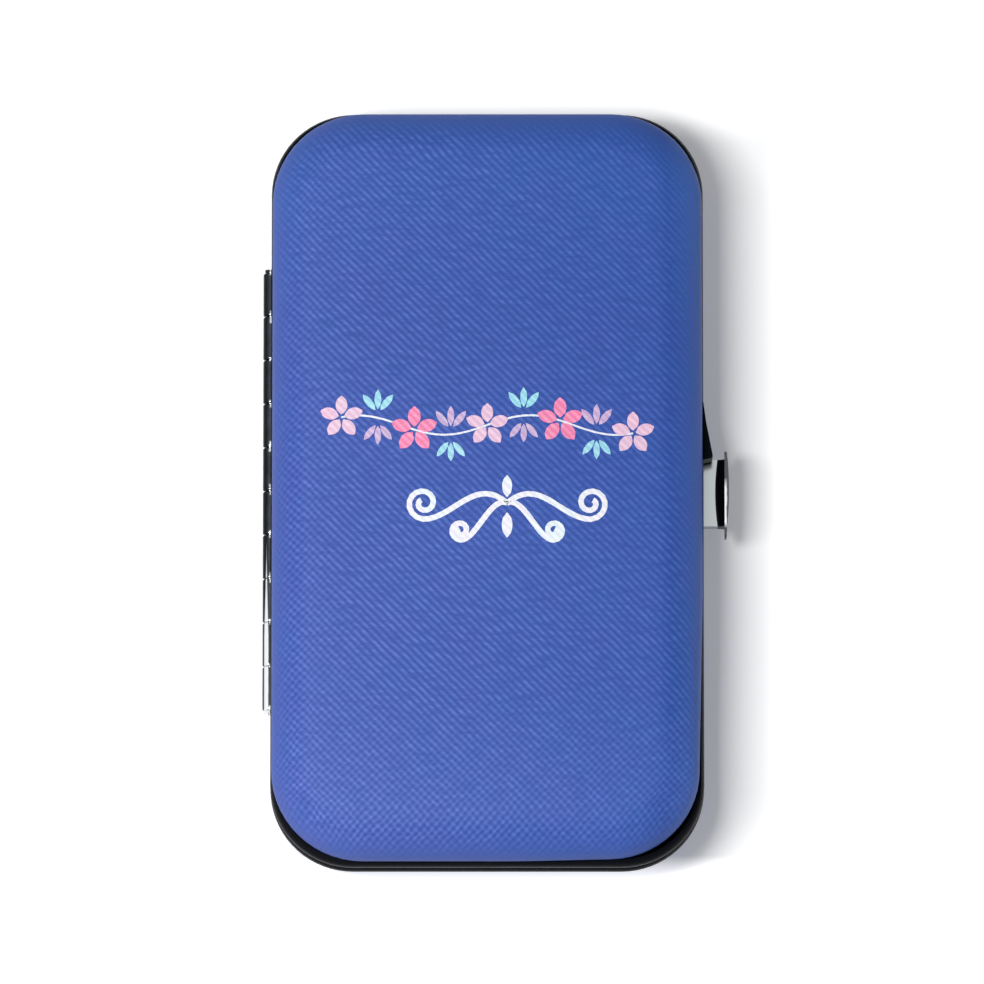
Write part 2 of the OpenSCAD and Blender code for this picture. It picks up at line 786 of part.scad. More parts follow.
module tweezers_upper_arm() {
    high = arm_t + tweezers_gap;
    color(steel) trimmed_strip(tweezers_w, tweezers_x, [
        [-tweezers_l / 2, arm_t], [-tweezers_l / 2 + 8, arm_t], [-6, high], [6, high],
        [tweezers_l / 2 - 5, 2.9], [tweezers_l / 2, 2.2], [tweezers_l / 2, 2.7],
        [tweezers_l / 2 - 5, 2.9 + arm_t], [6, high + arm_t], [-6, high + arm_t],
        [-tweezers_l / 2 + 7.6, 2 * arm_t], [-tweezers_l / 2, 2 * arm_t]
    ]) tweezer_plan();
}

// The file lies with its blade in the middle of the handle's thickness
module file_blade() {
    rise = (file_handle_t - file_t) / 2;
    tang = file_w - 2.2;
    color(steel) translate([file_x, 0, tool_z + rise]) linear_extrude(file_t) {
        translate([-tang / 2, -file_l / 2 + 12]) square([tang, 26]);
        translate([-file_w / 2, -file_l / 2 + 34]) square([file_w, file_l - 34 - file_w / 2 - 6]);
        polygon([
            [-file_w / 2, file_l / 2 - file_w / 2 - 6], [file_w / 2, file_l / 2 - file_w / 2 - 6],
            [0.6, file_l / 2], [-0.6, file_l / 2]
        ]);
    }
}

module file_handle() {
    rise = (file_handle_t - file_t) / 2;
    tang = file_w - 2.2;
    length = 34;
    color(handle_black) difference() {
        translate([file_x, -file_l / 2 + length / 2, tool_z]) linear_extrude(file_handle_t)
            rounded_plan(file_w, length, file_w / 2 - 0.4);
        translate([file_x - tang / 2, -file_l / 2 + 12, tool_z + rise]) cube([tang, length, file_t]);
    }
}

// Turned double-ended pusher: waisted grip, flat spoon and pointed scraper
module cuticle_pusher() {
    r = pusher_d / 2;
    grip = 44;
    neck = 10;
    shaft = pusher_l / 2 - 9;
    color(steel) translate([pusher_x, 0, tool_z + r]) {
        rotate([90, 0, 0]) rotate_extrude() polygon([
            [0, -shaft], [0.9, -shaft], [1.1, -grip / 2 - neck], [r, -grip / 2],
            [r, -grip / 2 + 8], [r - 0.25, -grip / 2 + 9], [r - 0.25, grip / 2 - 9], [r, grip / 2 - 8],
            [r, grip / 2], [1.1, grip / 2 + neck], [0.9, shaft], [0, shaft]
        ]);
        translate([0, 0, -0.6]) linear_extrude(1.1) {
            translate([0, pusher_l / 2 - 2.5]) circle(2.5);
            polygon([[-0.9, shaft - 3], [0.9, shaft - 3], [2.5, pusher_l / 2 - 2.5], [-2.5, pusher_l / 2 - 2.5]]);
            polygon([[-0.9, -shaft + 3], [-2, -pusher_l / 2 + 4], [0, -pusher_l / 2], [0.9, -shaft + 3]]);
        }
    }
}

// ------------------------------------------------------------------- nodes

base_cover();
base_padding();
base_board();
base_lining();
base_frame();
base_hinge_leaf();
hinge_pin();
latch_spring();
latch_rivets();
tray_foam();
tray_board();
tray_facing();
strap_far();
strap_near();
lid_cover();
lid_padding();
lid_board();
lid_lining();
lid_frame();
lid_hinge_leaf();
catch_plate();
catch_rivets();
button_stem();
button_face();
toenail_clipper_lower_arm();
toenail_clipper_upper_arm();
toenail_clipper_lever();
toenail_clipper_pin();
nail_clipper_lower_arm();
nail_clipper_upper_arm();
nail_clipper_lever();
nail_clipper_pin();
tweezers_lower_arm();
tweezers_upper_arm();
file_blade();
file_handle();
cuticle_pusher();
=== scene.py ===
"""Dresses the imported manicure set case: grained covers, black rims, chrome hinge and button."""

import json
import logging
import math
from dataclasses import dataclass
from enum import Enum
from typing import Callable, Iterable

import bmesh
import bpy
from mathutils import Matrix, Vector


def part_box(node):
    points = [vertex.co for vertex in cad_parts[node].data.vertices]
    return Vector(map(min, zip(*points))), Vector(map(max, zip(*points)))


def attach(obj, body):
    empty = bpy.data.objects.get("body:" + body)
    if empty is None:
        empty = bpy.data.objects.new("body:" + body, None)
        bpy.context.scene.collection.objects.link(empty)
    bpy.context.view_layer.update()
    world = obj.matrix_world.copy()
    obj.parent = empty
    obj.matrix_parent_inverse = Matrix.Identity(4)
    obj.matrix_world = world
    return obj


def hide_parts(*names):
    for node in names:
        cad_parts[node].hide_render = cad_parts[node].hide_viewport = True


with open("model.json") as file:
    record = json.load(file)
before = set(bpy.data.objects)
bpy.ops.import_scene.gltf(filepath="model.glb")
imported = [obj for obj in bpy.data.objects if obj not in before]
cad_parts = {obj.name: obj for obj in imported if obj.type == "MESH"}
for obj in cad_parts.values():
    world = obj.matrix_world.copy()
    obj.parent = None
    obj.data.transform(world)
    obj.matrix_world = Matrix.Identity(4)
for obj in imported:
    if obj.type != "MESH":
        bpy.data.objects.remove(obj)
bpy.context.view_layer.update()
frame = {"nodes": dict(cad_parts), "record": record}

log = logging.getLogger("case")
Piece = bpy.types.Object
Socket = bpy.types.NodeSocket
Colour = tuple[float, float, float]
Spot = tuple[float, float]
Oval = tuple[float, float, float, float, float]

MM = 0.001
MERGE = 1e-6
CASE_WIDTH = 65.5 * MM
CASE_LENGTH = 116.2 * MM
CORNER = 12.5 * MM


class Half(Enum):
    """Which half of the case a layer belongs to."""

    LID = "lid"
    BASE = "base"


# ------------------------------------------- bench: steps that several sub-assemblies share


def clear() -> None:
    """Deselects every object and leaves edit mode."""
    if bpy.context.mode != "OBJECT":
        bpy.ops.object.mode_set(mode="OBJECT")
    bpy.ops.object.select_all(action="DESELECT")


def take(piece: Piece) -> None:
    """Selects one piece alone and makes it active."""
    clear()
    piece.select_set(True)
    bpy.context.view_layer.objects.active = piece


def block(name: str, low: Vector, high: Vector) -> Piece:
    """Adds a box between two corners.

    Args:
        name: name of the piece.
        low: lowest corner, in metres.
        high: highest corner, in metres.

    Returns:
        The new box, with its place in its mesh.
    """
    clear()
    bpy.ops.mesh.primitive_cube_add(size=1, location=(low + high) / 2, scale=tuple(high - low))
    piece = bpy.context.active_object
    piece.name = name
    bpy.ops.object.transform_apply()
    return piece


def edit(piece: Piece) -> None:
    """Enters edit mode on one piece, or stays in it."""
    if bpy.context.mode != "EDIT_MESH":
        take(piece)
        bpy.ops.object.mode_set(mode="EDIT")


def choose(piece: Piece, kind: str, test: Callable[[object], bool]) -> None:
    """Enters edit mode and selects the elements that pass a test.

    Args:
        piece: the piece to work on.
        kind: VERT, EDGE or FACE.
        test: says whether a bmesh element is wanted.
    """
    edit(piece)
    bpy.ops.mesh.select_mode(type=kind)
    bpy.ops.mesh.select_all(action="DESELECT")
    bm = bmesh.from_edit_mesh(piece.data)
    for element in {"VERT": bm.verts, "EDGE": bm.edges, "FACE": bm.faces}[kind]:
        if test(element):
            element.select = True
    bm.select_flush_mode()
    bmesh.update_edit_mesh(piece.data)


def tidy(piece: Piece) -> None:
    """Merges doubles, turns the faces outwards and leaves edit mode."""
    edit(piece)
    bpy.ops.mesh.select_all(action="SELECT")
    bpy.ops.mesh.remove_doubles(threshold=MERGE)
    bpy.ops.mesh.normals_make_consistent(inside=False)
    bpy.ops.object.mode_set(mode="OBJECT")


def apply_all(piece: Piece) -> None:
    """Applies every modifier of a piece, in order."""
    take(piece)
    for modifier in list(piece.modifiers):
        bpy.ops.object.modifier_apply(modifier=modifier.name)


def smooth(piece: Piece, degrees: float) -> None:
    """Smooths the shading wherever faces meet at less than an angle."""
    take(piece)
    bpy.ops.object.shade_smooth_by_angle(angle=math.radians(degrees))


def bevel(offset: float, segments: int) -> None:
    """Rounds the edges that are selected in edit mode."""
    bpy.ops.mesh.bevel(offset_type="OFFSET", offset=offset, segments=segments, profile=0.5,
                       affect="EDGES", clamp_overlap=False)


def bisect(piece: Piece, axis: int, places: Iterable[float]) -> None:
    """Cuts a row of edge loops across a piece.

    Args:
        piece: the piece to cut.
        axis: the axis that the cuts cross.
        places: where they cross it, in metres.
    """
    edit(piece)
    for place in places:
        bpy.ops.mesh.select_all(action="SELECT")
        point, normal = [0.0, 0.0, 0.0], [0.0, 0.0, 0.0]
        point[axis], normal[axis] = place, 1.0
        bpy.ops.mesh.bisect(plane_co=point, plane_no=normal)
    bpy.ops.object.mode_set(mode="OBJECT")


def cut(piece: Piece, low: Vector, high: Vector) -> None:
    """Cuts a box out of a piece.

    Args:
        piece: the piece to cut.
        low: lowest corner of the box, in metres.
        high: highest corner of the box.
    """
    tool = block("cutter", low, high)
    bite = piece.modifiers.new("cut", "BOOLEAN")
    bite.operation, bite.object, bite.solver = "DIFFERENCE", tool, "EXACT"
    apply_all(piece)
    bpy.data.objects.remove(tool)


def ribbon(name: str, path: list[Spot], low: float, high: float) -> Piece:
    """Draws an edge across the case along a path seen from the near end.

    Args:
        name: name of the piece.
        path: places as x and z, in metres.
        low: y of the edge's near end.
        high: y of its far end.

    Returns:
        The open ribbon.
    """
    clear()
    (x, z), middle = path[0], (low + high) / 2
    bpy.ops.mesh.primitive_plane_add(size=1, location=(x + 0.5, middle, z))
    piece = bpy.context.active_object
    piece.name = name
    piece.data.name = name
    bpy.ops.object.transform_apply()
    choose(piece, "VERT", lambda v: v.co.x > x + 0.5)
    bpy.ops.mesh.delete(type="VERT")
    choose(piece, "EDGE", lambda e: True)
    bpy.ops.transform.resize(value=(1, high - low, 1), center_override=(x, middle, z))
    for (ax, az), (bx, bz) in zip(path, path[1:]):
        bpy.ops.mesh.extrude_edges_move(TRANSFORM_OT_translate={"value": (bx - ax, 0, bz - az)})
    bpy.ops.object.mode_set(mode="OBJECT")
    return piece


def join(name: str, pieces: list[Piece]) -> Piece:
    """Joins pieces into one.

    Args:
        name: name of the whole.
        pieces: the parts, the first of which is kept.

    Returns:
        The whole.
    """
    clear()
    for piece in pieces:
        piece.select_set(True)
    bpy.context.view_layer.objects.active = pieces[0]
    bpy.ops.object.join()
    pieces[0].name = name
    return pieces[0]


def copies(piece: Piece, places: Iterable[Vector]) -> Piece:
    """Repeats a piece at several places and joins the copies into it.

    Args:
        piece: the piece, modelled about the origin.
        places: where each copy goes, in metres.

    Returns:
        One piece with all the copies and none at the origin.
    """
    made = []
    for place in places:
        twin = piece.copy()
        twin.data = piece.data.copy()
        bpy.context.scene.collection.objects.link(twin)
        twin.location = place
        made.append(twin)
    name = piece.name
    bpy.data.objects.remove(piece)
    whole = join(name, made)
    bpy.ops.object.transform_apply()
    return whole


# --------------------------------------------------------------- finishes


class Value:
    """A quantity inside a node tree, which takes plain arithmetic."""

    def __init__(self, nodes: "Nodes", socket: Socket) -> None:
        """Holds a socket and the nodes it belongs to."""
        self.nodes, self.socket = nodes, socket

    def do(self, operation: str, *others: "Value | float") -> "Value":
        """Puts the value through one step of arithmetic.

        Args:
            operation: the Math node's operation.
            others: its further terms.

        Returns:
            The result.
        """
        node = self.nodes.add("Math", operation=operation)
        for socket, term in zip(node.inputs, (self, *others)):
            self.nodes.put(socket, term)
        return Value(self.nodes, node.outputs[0])

    def __add__(self, other: "Value | float") -> "Value":
        """This value plus another."""
        return self.do("ADD", other)

    def __sub__(self, other: "Value | float") -> "Value":
        """This value less another."""
        return self.do("SUBTRACT", other)

    def __mul__(self, other: "Value | float") -> "Value":
        """This value times another."""
        return self.do("MULTIPLY", other)

    def __abs__(self) -> "Value":
        """This value without its sign."""
        return self.do("ABSOLUTE")

    def at_least(self, low: "Value | float") -> "Value":
        """The larger of this value and another."""
        return self.do("MAXIMUM", low)

    def at_most(self, high: "Value | float") -> "Value":
        """The smaller of this value and another."""
        return self.do("MINIMUM", high)

    def wave(self) -> "Value":
        """A sine wave from 0 to 1, with this value as its phase."""
        return self.do("SINE") * 0.5 + 0.5

    def span(self, low: float, high: float) -> "Value":
        """Stretches a value from 0..1 to low..high."""
        return self * (high - low) + low

    def fade(self, begin: float, end: float, low: float = 0.0, high: float = 1.0) -> "Value":
        """Runs from low to high while this value goes from begin to end, and stays there."""
        node = self.nodes.add("MapRange", in_Value=self, in_From_Min=begin, in_From_Max=end,
                              in_To_Min=low, in_To_Max=high)
        return Value(self.nodes, node.outputs[0])


class Nodes:
    """A short hand for wiring a procedural material or world."""

    def __init__(self, owner: bpy.types.Material | bpy.types.World) -> None:
        """Empties the owner's node tree."""
        owner.use_nodes = True
        self.tree = owner.node_tree
        self.tree.nodes.clear()

    def add(self, kind: str, **settings: object) -> bpy.types.Node:
        """Adds a node and sets its properties and inputs.

        Args:
            kind: the node's class name after ShaderNode.
            settings: properties by name, or inputs as in_NAME.

        Returns:
            The new node.
        """
        node = self.tree.nodes.new("ShaderNode" + kind)
        for key, value in settings.items():
            if key.startswith("in_"):
                self.put(node.inputs[key[3:].replace("_", " ")], value)
            else:
                setattr(node, key, value)
        return node

    def put(self, socket: Socket, value: object) -> None:
        """Wires a value, a node or an output to a socket, or sets the socket to plain numbers.

        Args:
            socket: the input.
            value: what goes in; a colour may leave out its alpha.
        """
        if isinstance(value, Value):
            value = value.socket
        if isinstance(value, bpy.types.Node):
            value = value.outputs[0]
        if isinstance(value, Socket):
            self.tree.links.new(value, socket)
        elif socket.type == "RGBA" and len(value) == 3:
            socket.default_value = (*value, 1.0)
        else:
            socket.default_value = value

    def split(self, where: Socket) -> tuple[Value, Value]:
        """The x and y of a place."""
        outputs = self.add("SeparateXYZ", in_Vector=where).outputs
        return Value(self, outputs[0]), Value(self, outputs[1])

    def mapped(self, where: Socket, squeeze: tuple[float, float, float] = (1, 1, 1), turn: float = 0.0,
               shift: tuple[float, float, float] = (0, 0, 0)) -> Socket:
        """Squeezes a place by a factor along each axis, turns it by degrees and shifts it by metres."""
        return self.add("Mapping", in_Vector=where, in_Scale=squeeze, in_Location=shift,
                        in_Rotation=(0, 0, math.radians(turn))).outputs[0]

    def noise(self, where: Socket, scale: float, detail: float = 2.0, roughness: float = 0.5) -> Value:
        """Noise from 0 to 1 at a scale in cells a metre."""
        node = self.add("TexNoise", in_Vector=where, in_Scale=scale, in_Detail=detail, in_Roughness=roughness)
        return Value(self, node.outputs[0])

    def ramp(self, value: Value, stops: list[tuple[float, Colour]]) -> Socket:
        """Colours a value.

        Args:
            value: the value to colour.
            stops: places from 0 to 1 with linear colours.

        Returns:
            The colour's socket.
        """
        node = self.add("ValToRGB", in_Fac=value)
        ramp = node.color_ramp
        while len(ramp.elements) < len(stops):
            ramp.elements.new(0.5)
        for element, (place, colour) in zip(ramp.elements, stops):
            element.position = place
            element.color = (*colour, 1.0)
        return node.outputs[0]

    def mix(self, share: Value | float, first: object, second: object, blend: str = "MIX") -> Socket:
        """Mixes two colours.

        Args:
            share: share of the second colour.
            first: a colour or its socket.
            second: another.
            blend: the Mix node's blend type.

        Returns:
            The mixed colour's socket.
        """
        node = self.add("Mix", data_type="RGBA", blend_type=blend)
        factor, one, other = 0, 6, 7
        for place, value in ((factor, share), (one, first), (other, second)):
            self.put(node.inputs[place], value)
        return node.outputs[2]

    def relief(self, height: Value, depth: float) -> Socket:
        """Turns a height from 0 to 1 into a normal bumped by a depth in metres."""
        return self.add("Bump", in_Height=height, in_Distance=depth, in_Strength=1.0).outputs[0]

    def rays(self, *kinds: str) -> Value:
        """Tells some kinds of rays from all others.

        Args:
            kinds: names of the kinds.

        Returns:
            1 for rays of those kinds and 0 for others.
        """
        path = self.add("LightPath")
        first, *others = (Value(self, path.outputs[f"Is {kind} Ray"]) for kind in kinds)
        for other in others:
            first = first.at_least(other)
        return first

    def joined(self, kind: str, *inputs: object) -> bpy.types.Node:
        """Adds a node and wires its inputs in order.

        Args:
            kind: the node's class name after ShaderNode.
            inputs: what goes into its first inputs.

        Returns:
            The new node.
        """
        node = self.add(kind)
        for socket, value in zip(node.inputs, inputs):
            self.put(socket, value)
        return node

    def skin(self, **inputs: object) -> bpy.types.Node:
        """Adds the surface shader, with its inputs named with underscores for spaces."""
        return self.add("BsdfPrincipled", **{"in_" + key: value for key, value in inputs.items()})


def linear(red: int, green: int, blue: int) -> Colour:
    """Linear colour of an 8-bit sRGB one.

    Args:
        red: red from 0 to 255.
        green: green from 0 to 255.
        blue: blue from 0 to 255.

    Returns:
        The linear colour.
    """
    def one(v: int) -> float:
        """Linear value of one channel."""
        c = v / 255
        return c / 12.92 if c <= 0.04045 else ((c + 0.055) / 1.055) ** 2.4
    return one(red), one(green), one(blue)


class Finish:
    """A procedural finish, which each kind below paints in its own way."""

    name: str

    def paint(self, n: Nodes, where: Socket) -> bpy.types.Node:
        """Wires the finish; each kind has its own way.

        Args:
            n: the material's nodes.
            where: the place on the piece, in object coordinates.

        Returns:
            The shader.
        """
        raise NotImplementedError

    def make(self) -> bpy.types.Material:
        """Builds the material.

        Returns:
            The material.
        """
        material = bpy.data.materials.new(self.name)
        n = Nodes(material)
        n.joined("OutputMaterial", self.paint(n, n.add("TexCoord").outputs["Object"]))
        return material


@dataclass(frozen=True)
class CrossGrain(Finish):
    """Coated cover fabric, pressed with a fine diagonal cross grain, with painted light and shade graded
    across and along it.
    """

    name: str = "cross_grained_blue"
    valley: Colour = linear(42, 70, 149)
    field: Colour = linear(62, 90, 173)
    ridge: Colour = linear(88, 114, 200)
    # Painted light and shade: the cover's colour is multiplied lighter to the left, darker to the right,
    # lighter again at the right edge, lighter at the near end and tinted at the far end.
    painted_light_left: Colour = (1.20, 1.04, 0.98)
    painted_shade_right: Colour = (0.84, 0.98, 0.97)
    painted_light_right_edge: Colour = (1.42, 1.48, 1.24)
    painted_tint_far: Colour = (1.03, 1.14, 1.07)
    painted_light_near: Colour = (1.22, 1.12, 1.06)
    cool_dye: Colour = (0.94, 1.02, 1.0)
    warm_dye: Colour = (1.06, 0.98, 1.0)
    pitch: float = 0.905 * MM
    depth: float = 0.06 * MM
    level: float = 0.335
    flat_across: float = 18.75 * MM
    flat_along: float = 43.7 * MM
    pull_across: float = 27 * MM
    pull_along: float = 50 * MM
    give_across: float = 0.15
    give_along: float = 0.27
    stray: float = 2.2
    cross_stray: float = 5.2
    cross_pitch: float = 0.94
    cross_lean: float = -1.03
    weave_left: float = -17 * MM
    weave_near: float = -27.5 * MM
    left_rate: float = -40.0
    near_rate: float = -20.0
    least_crossed: float = 0.03
    most_crossed: float = 0.75
    crest: float = 1.08
    worn_from: float = 8.6 * MM
    worn_to: float = 13.0 * MM
    worn_share: float = 0.12
    sharp_across: float = -40 * MM
    sharp_along: float = -44 * MM
    sharp_reach: float = -3.0 * MM
    width: float = 66 * MM
    length: float = 120 * MM

    def paint(self, n: Nodes, where: Socket) -> bpy.types.Node:
        """Wires the finish on the piece's own unrolled map, with painted light and shade laid across it by
        place.
        """
        flat = n.add("UVMap", uv_map="Unrolled").outputs[0]
        u, v = n.split(flat)
        fine, cloud = n.noise(flat, 3800.0, 3.0), n.noise(flat, 24.0)
        height = fine * 0.26 + self.woven(n, flat, u, v)
        # Painted shade: the tone also runs darker towards the right and the far end.
        tone = height * 0.80 + u * -1.6 + v * -0.9 + cloud.span(-0.05, 0.05)
        colour = n.ramp(tone, [(0.065, self.valley), (0.445, self.field), (0.975, self.ridge)])
        tint = n.noise(n.mapped(flat, shift=(40 * MM, 0, 0)), 150.0)
        plain = (1.0, 1.0, 1.0)
        # The first ramp is a random tone of the dye; the second and third are painted light and shade across
        # and along the cover.
        for share, stops in ((tint, [(0.3, self.cool_dye), (0.7, self.warm_dye)]),
                             (u * (1 / self.width) + 0.5,
                              [(0.0, self.painted_light_left), (0.92, self.painted_shade_right), (1.0, self.painted_light_right_edge)]),
                             (v * (1 / self.length) + 0.5,
                              [(0.03, self.painted_light_near), (0.22, plain), (0.70, plain), (0.90, self.painted_tint_far)])):
            colour = n.mix(1.0, colour, n.ramp(share, stops), "MULTIPLY")
        return n.skin(Base_Color=colour, Roughness=fine.span(0.52, 0.66), Specular_IOR_Level=0.22,
                      Normal=n.relief(height, self.depth))

    def woven(self, n: Nodes, flat: Socket, u: Value, v: Value) -> Value:
        """Presses two crossing sets of ridges, the second of which shows to the left and the near end.

        Args:
            n: the material's nodes.
            flat: the flat map.
            u: place across it.
            v: place along it.

        Returns:
            The grain's height.
        """
        wander, drift = n.noise(flat, 230.0), n.noise(flat, 610.0, 1.0)
        across = self.stretched(u, self.pull_across, self.give_across)
        along = self.stretched(v, self.pull_along, self.give_along)

        def ridges(pitch: float, stray: float, lean: float) -> Value:
            """Rounded ridges along one diagonal, from 0 to 1."""
            turn = 2 * math.pi / (pitch * math.sqrt(2))
            phase = (along * lean + across) * turn + (drift * 0.5 + wander) * stray
            return phase.wave().do("POWER", self.crest)

        gaps = n.noise(n.mapped(flat, (300.0, 1400.0, 1.0), 43), 1.0)
        weft = n.noise(n.mapped(flat, (380.0, 1300.0, 1.0), -45), 1.0)
        left = (u - self.weave_left) * self.left_rate * (v * -6.0 + 0.7).at_least(0.0)
        near = (v - self.weave_near) * self.near_rate
        reach = left.at_least(near).at_least(0.05) + n.noise(flat, 62.0, 1.0).span(-0.2, 0.2)
        share = reach.at_least(self.least_crossed).at_most(self.most_crossed)
        kept = ridges(self.pitch, self.stray, 1.0) * gaps.span(-0.45, 2.1) * (share * -0.9 + 1.0)
        second = ridges(self.pitch * self.cross_pitch, self.cross_stray, self.cross_lean)
        crossed = second * weft.span(0.0, 1.8) * share
        bite = u * -5.5 + v * -3.0 + 0.96
        return (crossed * 0.78 + kept * 0.72 - self.level) * bite * self.worn_round(u, v) + self.level

    def stretched(self, place: Value, begin: float, give: float) -> Value:
        """Draws the grain out where the cover is pulled down over its rounded edge.

        Args:
            place: place on the flat map, along one of its two ways.
            begin: how far from the middle the pull begins.
            give: share of the grain's length given up to it.

        Returns:
            The place with the pull taken off.
        """
        beyond = (abs(place) - begin).at_least(0.0)
        return beyond * place.do("SIGN") * -give + place

    def worn_round(self, u: Value, v: Value) -> Value:
        """Fades the grain where the cover is stretched over its rounded edge.

        Args:
            u: place across the flat map.
            v: place along it.

        Returns:
            The share of the grain that is left.
        """
        side, end = (abs(u) - self.flat_across).at_least(0.0), (abs(v) - self.flat_along).at_least(0.0)
        run = (side * side + end * end).do("SQRT")
        sharp = (u * (1 / self.sharp_across)).at_least(v * (1 / self.sharp_along)).at_least(0.0).at_most(1.0)
        return (sharp * self.sharp_reach + run).fade(self.worn_from, self.worn_to, 1.0, self.worn_share)


@dataclass(frozen=True)
class RimPaint(Finish):
    """Black enamel on pressed steel, a little orange-peeled."""

    name: str = "black_enamel"
    colour: Colour = (0.0020, 0.0026, 0.0050)
    wear_and_glint: Colour = (0.0032, 0.0038, 0.0055)

    def paint(self, n: Nodes, where: Socket) -> bpy.types.Node:
        """Wires the enamel and gives its shader."""
        rub_and_sheen = n.noise(where, 120.0, 4.0)
        return n.skin(Base_Color=n.ramp(rub_and_sheen, [(0.35, self.colour), (0.8, self.wear_and_glint)]),
                      Roughness=rub_and_sheen.span(0.22, 0.36), Specular_IOR_Level=0.02,
                      Normal=n.relief(n.noise(where, 900.0), 0.012 * MM))


@dataclass(frozen=True)
class Metal(Finish):
    """Polished or brushed metal with hairlines along the case."""

    name: str
    colour: Colour
    shine: float
    hairline: float = 0.0

    def paint(self, n: Nodes, where: Socket) -> bpy.types.Node:
        """Wires the metal and gives its shader."""
        lines = n.noise(n.mapped(where, (4000.0, 90.0, 4000.0)), 1.0)
        cloud = n.noise(where, 160.0, 3.0)
        dark = tuple(c * 0.86 for c in self.colour)
        rough = lines * (0.10 + self.hairline) + cloud.span(0.8 * self.shine, 1.2 * self.shine)
        return n.skin(Base_Color=n.ramp(cloud, [(0.3, dark), (0.7, self.colour)]), Metallic=1.0,
                      Roughness=rough, Normal=n.relief(lines, (0.001 + 0.006 * self.hairline) * MM))


@dataclass(frozen=True)
class FileCut(Finish):
    """Steel of the nail file, cut with two crossing sets of fine teeth over most of its length."""

    name: str = "file_cut_steel"
    colour: Colour = (0.50, 0.51, 0.53)
    wear_and_glint: Colour = (0.64, 0.65, 0.66)
    pitch: float = 0.42 * MM

    def paint(self, n: Nodes, where: Socket) -> bpy.types.Node:
        """Wires the cut steel and gives its shader."""
        x, y = n.split(where)
        turn = 2 * math.pi / self.pitch
        teeth = ((x * 0.55 + y) * turn).wave() * 0.6 + ((x * -0.8 + y) * turn).wave() * 0.4
        cloud = n.noise(where, 240.0, 3.0)
        colour = n.ramp(cloud * 0.5 + teeth * 0.5, [(0.25, self.colour), (0.75, self.wear_and_glint)])
        return n.skin(Base_Color=colour, Metallic=1.0, Roughness=cloud.span(0.32, 0.44),
                      Normal=n.relief(teeth, 0.06 * MM))


@dataclass(frozen=True)
class ButtonChrome(Finish):
    """Satin chrome of the button's stem, with black enamel in the bowed root of its plate."""

    name: str = "button_chrome"
    chrome: Colour = (0.46, 0.49, 0.50)
    enamel: Colour = (0.002, 0.002, 0.004)
    root: float = 34.55 * MM
    bow: float = 38.0 * MM
    blur: float = 0.03 * MM

    def paint(self, n: Nodes, where: Socket) -> bpy.types.Node:
        """Wires the chrome and gives its shader."""
        x, y = n.split(where)
        mask = (x - y * y * (0.5 / self.bow)).fade(self.root - self.blur, self.root + self.blur)
        brushed = n.noise(n.mapped(where, (4000.0, 120.0, 4000.0)), 1.0)
        return n.skin(Base_Color=n.mix(mask, self.chrome, self.enamel), Metallic=mask * -1.0 + 1.0,
                      Roughness=brushed.span(0.12, 0.24), Specular_IOR_Level=0.05,
                      Normal=n.relief(brushed, 0.002 * MM))


@dataclass(frozen=True)
class ThumbPlate(Finish):
    """Smoked chrome of the thumb plate, with painted highlights on its face and along the middle of its inner
    edge.
    """

    name: str = "thumb_plate_chrome"
    smoked: Colour = (0.085, 0.090, 0.105)
    # Colour of the painted highlights.
    painted_highlight: Colour = (0.86, 0.87, 0.88)
    swell: float = 60 * MM
    crown: float = 36.65 * MM
    edge: float = 36.42 * MM
    low: float = -5.2 * MM
    high: float = 1.2 * MM

    def paint(self, n: Nodes, where: Socket) -> bpy.types.Node:
        """Wires the chrome, with the painted highlights placed from the plate's own sizes."""
        x, y = n.split(where)
        rub_and_sheen = n.noise(where, 700.0)
        # Painted highlight: a stripe along the middle of the inner edge and a patch over the face.
        side = (rub_and_sheen * (0.3 * MM) + x).fade(self.edge + 0.08 * MM, self.edge - 0.08 * MM)
        near = y.fade(self.low - 0.5 * MM, self.low + 0.3 * MM)
        far = y.fade(self.high + 0.8 * MM, self.high - 0.8 * MM)
        deep = x + (self.swell - self.crown)
        reach = (deep * deep + y * y).do("SQRT")
        face_highlight = reach.fade(self.swell - 0.03 * MM, self.swell - 0.02 * MM)
        mask = (side * near * far).at_least(face_highlight * rub_and_sheen.span(0.52, 0.66))
        return n.skin(Base_Color=n.ramp(mask, [(0.0, self.smoked), (1.0, self.painted_highlight)]), Metallic=1.0,
                      Roughness=rub_and_sheen.span(0.08, 0.18), Normal=n.relief(rub_and_sheen, 0.002 * MM))


